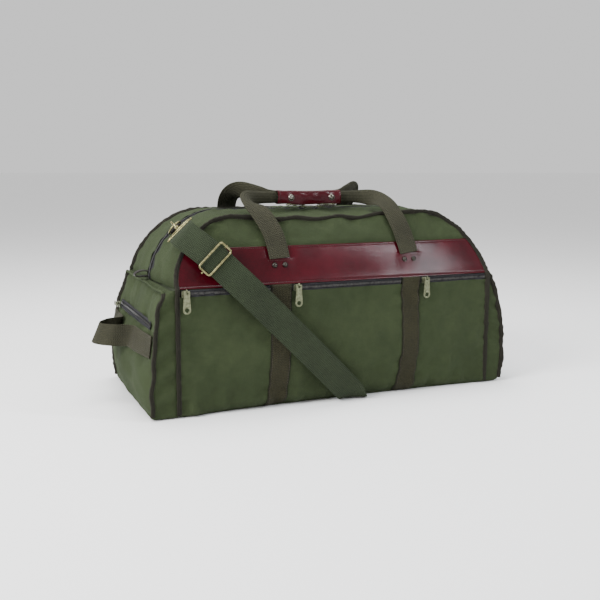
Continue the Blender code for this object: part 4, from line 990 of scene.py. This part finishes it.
def make_slider(name, base, travel, out, hinge=None, pivot=None, top=0.0056, tab=False):
    """Zipper slider: two plates, the neck between them and the bridge that holds the pull."""
    travel, out = np.array(travel, float), np.array(out, float)
    across = np.cross(out, travel)
    parts = Pieces()

    def plate(outline, thickness, bevel, height):
        parts.plate(outline, [], thickness, bevel, matrix_at(base + out * height, travel, across, out))

    plate(shield(0.0140, 0.0118), 0.0012, 0.0004, 0.0010)
    plate(shield(0.0132, 0.0106), 0.0014, 0.0005, top - 0.0009)
    plate([(0.0052, 0.0018), (0.0052, -0.0018), (0.0018, -0.0012), (0.0018, 0.0012)],
          top - 0.0008, 0.0002, top / 2)
    for way in (-1, 1):
        back, front, half = way * 0.0043, way * 0.0036, 0.0005
        rail = [(-0.0058, back - half), (0.0052, front - half), (0.0052, front + half),
                (-0.0058, back + half)]
        plate(rail, 0.0016, 0.0002, top - 0.0020)
    if hinge is not None:
        lean = np.cross(np.array(hinge, float), out)
        arc = curve_through([np.array(pivot) + lean * e + out * v for e, v in SLIDER_BRIDGE], 4)
        parts.tube(arc, 0.0009, sides=10, squash=0.75)
    if tab:
        hole = [(0.0019 * math.cos(a), -0.0145 + 0.0019 * math.sin(a)) for a in np.arange(16) * math.pi / 8]
        place = matrix_at(base + out * (top + 0.0009), across, -travel, np.cross(across, -travel))
        parts.plate(END_TAB, [hole], 0.0013, 0.0004, place)
        staple = ((0.003, -0.001), (0.002, 0.002), (-0.002, 0.002), (-0.003, -0.001))
        parts.tube([base + travel * t + out * (top + rise) for t, rise in staple], 0.0008)
    parts.finish(f"{name}_brass", PULL_METAL, f"{name}_body", "brass", [name])


def make_pull(name, pivot, hang, out, length=0.038):
    """Pull tab: hangs from its top bar, widens to a round end with a rimmed hole."""
    hang, out = unit(np.array(hang, float)), unit(np.array(out, float))
    across = np.cross(hang, out)
    half_top, half_end, drop = 0.0057, 0.0070, length - 0.0005
    centre = drop - half_end
    eye = centre + 0.0004
    outline = [(-half_top, -0.0002), (-half_top + 0.0010, -0.0008), (half_top - 0.0010, -0.0008),
               (half_top, -0.0002), (half_top * 0.96, 0.0100)]
    outline += [(half_end * math.sin(a), centre + half_end * math.cos(a))
                for a in np.linspace(1.75, -1.75, 21)]
    outline += [(-half_top * 0.96, 0.0100)]
    hole = [(0.0036 * math.cos(a), eye + 0.0036 * math.sin(a)) for a in np.arange(24) * math.pi / 12]
    corners = [(-1, -0.6), (-0.7, -1), (0.7, -1), (1, -0.6)]
    corners += [(-u, -v) for u, v in corners]
    bar_slot = [(0.0024 * u, 0.0026 + 0.0017 * v) for u, v in corners]
    parts = Pieces()
    place = matrix_at(pivot, across, hang, out)
    if np.dot(np.cross(across, hang), out) < 0:
        place = matrix_at(pivot, -across, hang, out)
        across = -across
    parts.plate(outline, [hole, bar_slot], 0.0017, 0.00045, place)
    face = pivot + out * 0.0008
    rim = [face + hang * (eye + 0.0042 * math.cos(a)) + across * 0.0042 * math.sin(a)
           for a in np.arange(32) * math.pi / 16]
    parts.tube(rim, 0.00055, closed=True, sides=8)
    border = [(-0.0034, 0.0072), (0.0034, 0.0072), (0.0038, centre - 0.0072), (-0.0038, centre - 0.0072)]
    edge = curve_through([face + across * u + hang * v for u, v in border + border[:1]], 3)
    parts.tube(edge[:-1], 0.00035, closed=True, sides=6)
    parts.finish(f"{name}_brass", PULL_METAL, f"{name}_body", "brass", [name])


def make_all_sliders():
    for name in ("left", "center", "right"):
        pivot, _ = joint(f"front_pull_{name}_hinge")
        base = np.array([pivot[0], pivot[1] + 0.0076, ZIP_LINE])
        make_slider(f"front_slider_{name}", base, X, -Y, hinge=X, pivot=pivot)
        make_pull(f"front_pull_{name}", pivot, -Z, -Y)
    for side, name in ((-1, "left"), (1, "right")):
        pivot, _ = joint(f"main_pull_{name}_hinge")
        base = np.array([pivot[0] + side * 0.0020, 0, pivot[2] - 0.0056])
        make_slider(f"main_slider_{name}", base, X * side, Z, hinge=Y * side, pivot=pivot, top=0.0042)
        make_pull(f"main_pull_{name}", pivot, X * side, Z, 0.036)
        low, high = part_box(f"{name}_end_slider")
        centre = (np.array(low) + np.array(high)) / 2
        base = np.array([(high.x if side < 0 else low.x), centre[1], centre[2]])
        make_slider(f"{name}_end_slider", base, Y, X * side, top=0.0052, tab=True)


# ---------------------------------------------------------------- handles
def folded(width, thickness, amount, squash, across=15):
    """Outline of webbing that curls across its width: 0 is flat, 1 is a closed C."""
    s = np.linspace(-width / 2, width / 2, across)
    bend = max(amount, 0.01) * 3.9
    radius = width / bend
    x, y = radius * np.sin(s / radius), radius * (1 - np.cos(s / radius)) * squash
    centre = np.stack([x, y - y.mean()], 1)
    tangent = unit(np.gradient(centre, axis=0))
    normal = np.stack([-tangent[:, 1], tangent[:, 0]], 1)
    inset = np.minimum(s + width / 2, width / 2 - s)
    thin = thickness / 2 * np.clip(inset / thickness * 2 + 0.45, 0, 1)[:, None]
    return np.vstack([centre - normal * thin, (centre + normal * thin)[::-1]])


FRONT_HANDLE = [(-0.1285, -0.1470, 0.2592), (-0.1280, -0.1385, 0.2800), (-0.1280, -0.1285, 0.3050),
                (-0.1300, -0.1130, 0.3305), (-0.1325, -0.0960, 0.3465), (-0.1300, -0.0770, 0.3545),
                (-0.1200, -0.0580, 0.3580), (-0.1020, -0.0410, 0.3585), (-0.0810, -0.0312, 0.3582),
                (-0.0600, -0.0305, 0.3585), (-0.0300, -0.0305, 0.3585), (0.0, -0.0305, 0.3585)]
FRONT_DRIFT = (0.0090, 0.0065, 0.0010, -0.0080, -0.0150, -0.0190, -0.0200, -0.0185, -0.0155, -0.0140,
               -0.0140, -0.0140)
BACK_HANDLE = [(-0.1285, 0.1470, 0.2592), (-0.1285, 0.1385, 0.2800), (-0.1290, 0.1285, 0.3050),
               (-0.1300, 0.1130, 0.3320), (-0.1310, 0.0940, 0.3500), (-0.1290, 0.0690, 0.3620),
               (-0.1210, 0.0440, 0.3690), (-0.1070, 0.0215, 0.3710), (-0.0900, 0.0015, 0.3675),
               (-0.0740, -0.0130, 0.3615), (-0.0500, -0.0185, 0.3590), (0.0, -0.0185, 0.3585)]
BACK_DRIFT = (0.0090, 0.0080, 0.0065, 0.0045, 0.0020, -0.0010, -0.0040, -0.0070, -0.0105, -0.0135,
              -0.0140, -0.0140)


def make_handle(name, half, drift, grip_side, squash, curl):
    """A webbing loop: flat on the bag at both ends, curling into a folded bundle at the grip."""
    steps = 8
    left = [(x + dx, y, z) for (x, y, z), dx in zip(half, drift)]
    right = [(-x + dx, y, z) for (x, y, z), dx in zip(half, drift)]
    line = curve_through(left + right[-2::-1], steps)
    count = (len(half) - 1) * steps + 1
    part = np.clip((np.arange(count) - 3 * steps) / (count - 1 - 6 * steps), 0, 1)
    part = part * part * (3 - 2 * part)
    hints = unit(X * (1 - part[:, None]) + np.array(grip_side) * part[:, None])
    hints = np.vstack([hints, hints[-2::-1] * (-1, 1, 1)])
    amount = np.concatenate([part, part[-2::-1]]) ** curl
    signs = np.sum(hints[1:] * hints[:-1], axis=1)
    for i, value in enumerate(signs):
        if value < -0.5:
            hints[i + 1:] *= -1
    line, hints, extra = resample(line, 0.0035, hints, amount[:, None])
    outlines = np.array([folded(WEBBING, 0.0022, a, squash) for a in extra[:, 0]])
    sweep(f"{name}_web", line, outlines, WEB, f"{name}_body", hints, [name], sharp=70)


def make_handles():
    make_handle("front_handle", FRONT_HANDLE, FRONT_DRIFT, (0, -0.06, -1.0), 0.35, 1.3)
    make_handle("back_handle", BACK_HANDLE, BACK_DRIFT, (0, 0.15, -0.98), 0.30, 2.4)


# Half profiles (radius, height) of the wrap's snap studs and of the rivets, and the studs' places.
STUD = [(0.0060, -0.0004), (0.0062, 0.0004), (0.0058, 0.0010), (0.0053, 0.0010), (0.0050, 0.0016),
        (0.0040, 0.0024), (0.0024, 0.0029), (0.0004, 0.0031)]
RIVET = [(0.0047, -0.0006), (0.0048, 0.0006), (0.0045, 0.0012), (0.0039, 0.0011), (0.0036, 0.0017),
         (0.0028, 0.0025), (0.0018, 0.0029), (0.0004, 0.0031)]
SNAP_SHIFTS = (-0.0415, 0.0415)


def make_grip():
    """Leather wrap: a U round the webbing, and a flap over its open side that closes with two snaps."""
    x = np.linspace(-GRIP_LENGTH / 2, GRIP_LENGTH / 2, 80)[:, None]
    sag = -0.0016 * np.cos(np.pi * x / GRIP_LENGTH) ** 2 + 0.0004 * ripple(x, 0.05, 2)
    angle = np.linspace(math.radians(118), math.radians(-118), 40)[None]
    tall = GRIP_HEIGHT / 2 + 0.0004 * ripple(x, 0.03, 5)
    deep = 0.0072
    centre_y = GRIP_Y - 0.0018
    round_y = deep * np.sign(np.cos(angle)) * np.abs(np.cos(angle)) ** 0.7
    round_z = tall * np.sign(np.sin(angle)) * np.abs(np.sin(angle)) ** 0.8
    grid = np.stack([GRIP_X + x + 0 * angle, centre_y + round_y + 0 * x, GRIP_Z + sag + round_z], -1)
    sheet("grip_wrap_leather", grid, 0.0018, Y, LEATHER, "front_handle_body", ["grip_wrap"])
    drop = np.linspace(0, 1, 26)[None]
    pivot, _ = joint("grip_flap_hinge")
    reach = GRIP_HEIGHT + 0.0002
    press = sum(np.exp(-((x - 0.0035 - s) / 0.010) ** 2) for s in SNAP_SHIFTS)
    belly = (0.0020 - 0.0007 * press) * np.sin(np.pi * drop ** 0.8)
    belly = belly + 0.0004 * clouds2(x, drop * 0.025, 0.022, 4)
    length = GRIP_LENGTH - 0.002
    flap_y = pivot[1] - 0.0022 - belly + 0.0019 * (1 - drop) ** 6
    flap_z = pivot[2] + sag - reach * drop - 0.0006 * (1 - drop) ** 4 + 0.0004 * ripple(x, 0.06, 9) * drop
    grid = np.stack([GRIP_X + x * length / GRIP_LENGTH + 0 * drop, flap_y, flap_z], -1)
    sheet("grip_flap_leather", grid, 0.0017, -Y, LEATHER, "grip_flap_body", ["grip_flap"])
    sewing = Pieces()
    for row in (2, 23):
        at = grid[:, row]
        sewing.stitches(at[2:-2] - Y * 0.0002, -Y)
    for column in (2, -3):
        sewing.stitches(grid[column, 2:24] - Y * 0.0002, -Y)
    sewing.finish("flap_stitching", RED_THREAD, "grip_flap_body", "band_leather")
    studs = Pieces()
    for shift in SNAP_SHIFTS:
        column = int(np.argmin(np.abs(x[:, 0] - 0.0035 - shift)))
        studs.lathe(STUD, grid[column, 13], -Y)
    studs.finish("grip_snap_studs", NICKEL, "grip_flap_body", "steel", ["grip_snaps"])


def make_rivets():
    for end, name in ((-1, "left"), (1, "right")):
        parts = Pieces()
        for shift in (-0.00975, 0.00975):
            height = HINGE_Z - 0.0120
            foot, normal = panel(-1, *(np.array(v) for v in (webbing_x(end, height) + shift, height, 0.0016)))
            parts.lathe(RIVET, foot, normal)
        parts.finish(f"rivets_{name}", RIVET_METAL, "bag", "steel", [f"front_rivets_{name}"])


# The grab handle's loose stretch: y, and how far it stands off the pocket.
GRAB_LOOP = ((-0.032, 0.010), (-0.022, 0.031), (0.0, 0.049), (0.022, 0.050), (0.042, 0.033), (0.051, 0.011))


def make_grab_handles():
    height = 0.122
    sewing = Pieces()
    for side, name in ((-1, "left"), (1, "right")):
        def on_face(y, lift):
            return np.array([side * (HALF_LENGTH + 0.0004 + pocket_face(side, y, height) + lift), y, height])
        points = [on_face(y, 0.0022) for y in (-0.149, -0.125, -0.095, -0.065, -0.042)]
        points += [on_face(y, lift) for y, lift in GRAB_LOOP]
        points += [on_face(y, 0.0022) for y in (0.062, 0.085, 0.105, 0.127, 0.149)]
        line = curve_through(points, 9)
        lean = pocket_face(side, line[:, 1], height + 0.018) - pocket_face(side, line[:, 1], height - 0.018)
        tilt = np.stack([side * lean, 0 * lean, 0 * lean + 0.036], 1)
        sweep(f"{name}_grab_web", line, slab(WEBBING, 0.0022, 12), WEB, "bag", tilt,
              [f"{name}_grab_handle"], sharp=70)
        for low, high in ((-0.148, -0.046), (0.065, 0.148)):
            for offset in (-0.0165, 0.0165):
                y = np.linspace(low, high, 60)
                at, normal = end_face(side, y, np.full(60, height + offset), 0.0034)
                sewing.stitches(at, normal)
        for y0 in (-0.050, 0.068):
            for a, b in (((0, -1), (0, 1)), ((1, -1), (1, 1)), ((0, -1), (1, 1)), ((0, 1), (1, -1))):
                t = np.linspace(0, 1, 20)
                yy = y0 + np.sign(y0) * 0.024 * (a[0] + (b[0] - a[0]) * t)
                at, normal = end_face(side, yy, height + 0.0165 * (a[1] + (b[1] - a[1]) * t), 0.0034)
                sewing.stitches(at, normal)
    sewing.finish("grab_stitching", THREAD, "bag", "webbing")


# ---------------------------------------------------------------- strap fittings
def turned(points, side):
    return np.asarray(points, float) * ((1, 1, 1) if side < 0 else (-1, -1, 1))


# The D ring's leather tab from the side, and half profiles of the snap hook's swivel collar and thumb knob.
D_RING_TAB = [(-0.0150, 0.0018), (-0.0220, 0.0018), (-0.0295, 0.0019), (-0.0332, 0.0056), (-0.0295, 0.0094),
              (-0.0220, 0.0080), (-0.0150, 0.0048)]
HOOK_COLLAR = [(0.0030, 0.0), (0.0036, 0.0008), (0.0036, 0.0028), (0.0027, 0.0034), (0.0025, 0.0060),
               (0.0036, 0.0066), (0.0038, 0.0090), (0.0030, 0.0098), (0.0024, 0.0120), (0.0030, 0.0136),
               (0.0012, 0.0146)]
HOOK_KNOB = [(0.0013, -0.0010), (0.0013, 0.0014), (0.0019, 0.0020), (0.0019, 0.0030), (0.0012, 0.0036)]


def make_fittings():
    bar, slope = joint("left_d_ring_hinge")
    root, along = joint("left_snap_hook_swivel")
    normal = np.array([-slope[2], 0, slope[0]])
    surface = bar + Y * 0.0295 - normal * 0.0056
    tilt, half, flat = math.radians(30), 0.0140, 0.0025
    reach = -Y * math.cos(tilt) + normal * math.sin(tilt)
    ring = [bar + slope * s for s in np.linspace(-half, half, 9)[:-1]]
    ring += [bar + reach * (flat + half * math.sin(a)) + slope * half * math.cos(a)
             for a in np.linspace(0, math.pi, 25)]
    tip = bar + reach * 0.0165
    out = unit(np.cross(along, slope))
    eye_centre = tip + along * 0.0062
    turn = np.linspace(0, 2 * math.pi, 40, endpoint=False)
    eye = [eye_centre + along * 0.0102 * math.cos(a) + out * 0.0062 * math.sin(a) for a in turn]
    across = np.array([0.70, 0, 0.71])
    across = unit(across - along * np.dot(across, along))
    bar_centre = root - along * 0.0042
    wide = STRAP / 2 + 0.0010
    bow = [(1.02, 0.0020), (0.72, 0.0062), (0.25, 0.0090)]
    bow = [(s, 0.0) for s in (-0.98, -0.5, 0, 0.5, 0.98)] + bow + [(-s, back) for s, back in bow[::-1]]
    loop = [bar_centre + across * wide * s - along * back for s, back in bow]
    loop = curve_through(loop + loop[:1], 4)[:-1]
    tab = curve_through([surface + Y * y + normal * n for y, n in D_RING_TAB], 6)
    pieces = []
    for side, name in ((-1, "left"), (1, "right")):
        parts = Pieces()
        parts.tube(turned(ring, side), 0.0017, closed=True, sides=12)
        parts.finish(f"{name}_d_ring_brass", BRASS, f"{name}_d_ring_body", "brass", [f"{name}_d_ring"])
        sweep(f"{name}_d_ring_leather", turned(tab, side), slab(0.0235, 0.0018, 8), DARK_LEATHER, "bag",
              turned([slope], side)[0], [f"{name}_d_ring_tab"])
        parts = Pieces()
        line = turned(eye, side)
        parts.tube(line, 0.0019, closed=True, sides=12)
        base = turned([eye_centre + along * 0.0098], side)[0]
        axis = turned([along], side)[0]
        parts.lathe(HOOK_COLLAR, base, axis, 24)
        knob = turned([eye_centre + along * 0.0030 + out * 0.0078], side)[0]
        parts.lathe(HOOK_KNOB, knob, turned([out], side)[0], 16)
        pieces.append(parts.finish(f"{name}_hook_brass", BRASS, f"{name}_snap_hook_body", "brass",
                                   [f"{name}_snap_hook"]))
        parts = Pieces()
        parts.tube(turned(loop, side), 0.0019, closed=True, sides=12)
        pieces.append(parts.finish(f"{name}_loop_brass", BRASS, "bag", "brass", [f"{name}_strap_loop"]))
    return pieces


def make_adjuster():
    """Slide on the strap: a bright wire rectangle with a bar behind the webbing."""
    _, travel = joint("slide_adjuster_slide")
    here = np.array(STRAP_ROUTE[2])
    across = np.array([0.70, 0, 0.71])
    across = unit(across - travel * np.dot(across, travel))
    out = np.cross(travel, across)
    out = out * (-1 if out[1] > 0 else 1)
    centre = here + travel * 0.010
    half_wide, half_long, wire = STRAP / 2 + 0.0028, 0.0118, 0.0018
    lift = 0.0054
    corner = 0.0042
    outline = []
    for sx, sy, start in ((1, 1, 0), (-1, 1, 90), (-1, -1, 180), (1, -1, 270)):
        for a in np.radians(np.linspace(start, start + 90, 7)):
            outline.append((sx * (half_wide - corner) + corner * math.cos(a),
                            sy * (half_long - corner) + corner * math.sin(a)))
    parts = Pieces()
    ring = np.array([centre + out * lift + across * u + travel * v for u, v in outline + outline[:1]])
    parts.tube(resample(ring, 0.0020)[:-1], wire, closed=True, sides=14, squash=1.0)
    bridge = [(-1, lift), (-1, -0.0034), (-0.96, -0.0050), (0.96, -0.0050), (1, -0.0034), (1, lift)]
    parts.tube(curve_through([centre + across * half_wide * u + out * w for u, w in bridge], 5), 0.0015,
               sides=12)
    return parts.finish("adjuster_brass", BRASS, "slide_adjuster_body", "brass", ["slide_adjuster"])


def make_zip_end_tabs():
    loop = [(0.0085, 0.2290), (0.0160, 0.2305), (0.0250, 0.2295), (0.0320, 0.2255), (0.0310, 0.2212),
            (0.0240, 0.2200), (0.0160, 0.2204), (0.0092, 0.2212)]
    for side, name in ((-1, "left"), (1, "right")):
        line = curve_through([(side * (HALF_LENGTH + o), 0, z) for o, z in loop], 7)
        sweep(f"{name}_zip_end_loop", line, slab(0.0145, 0.0017, 8), DARK_LEATHER, "bag", Y,
              [f"{name}_zip_end_tab"])


def dress_cad_nodes():
    plain = grained_material("lining_canvas", 1400.0, 2.0, 0.94, [(0.35, (0.018, 0.024, 0.011)),
                             (0.5, (0.026, 0.035, 0.015)), (0.7, (0.036, 0.048, 0.021))], (0.6, 0.0004))
    board = grained_material("stiff_board", 600.0, 3.0, 0.75, [(0.3, (0.02, 0.02, 0.02)),
                             (0.7, (0.05, 0.05, 0.05))], (0.4, 0.0002))
    for name, look in (("base_panel", plain), ("base_board", board), ("left_end_panel", plain),
                       ("right_end_panel", plain)):
        mesh = frame["nodes"][name].data
        mesh.materials.clear()
        mesh.materials.append(look)


make_body()
make_band()
make_front_and_back_webbing()
make_bindings()
make_end_pockets()
make_zippers()
make_all_sliders()
make_handles()
make_grip()
make_rivets()
make_grab_handles()
FITTINGS = make_fittings()
FITTINGS.append(make_adjuster())
make_zip_end_tabs()
dress_cad_nodes()
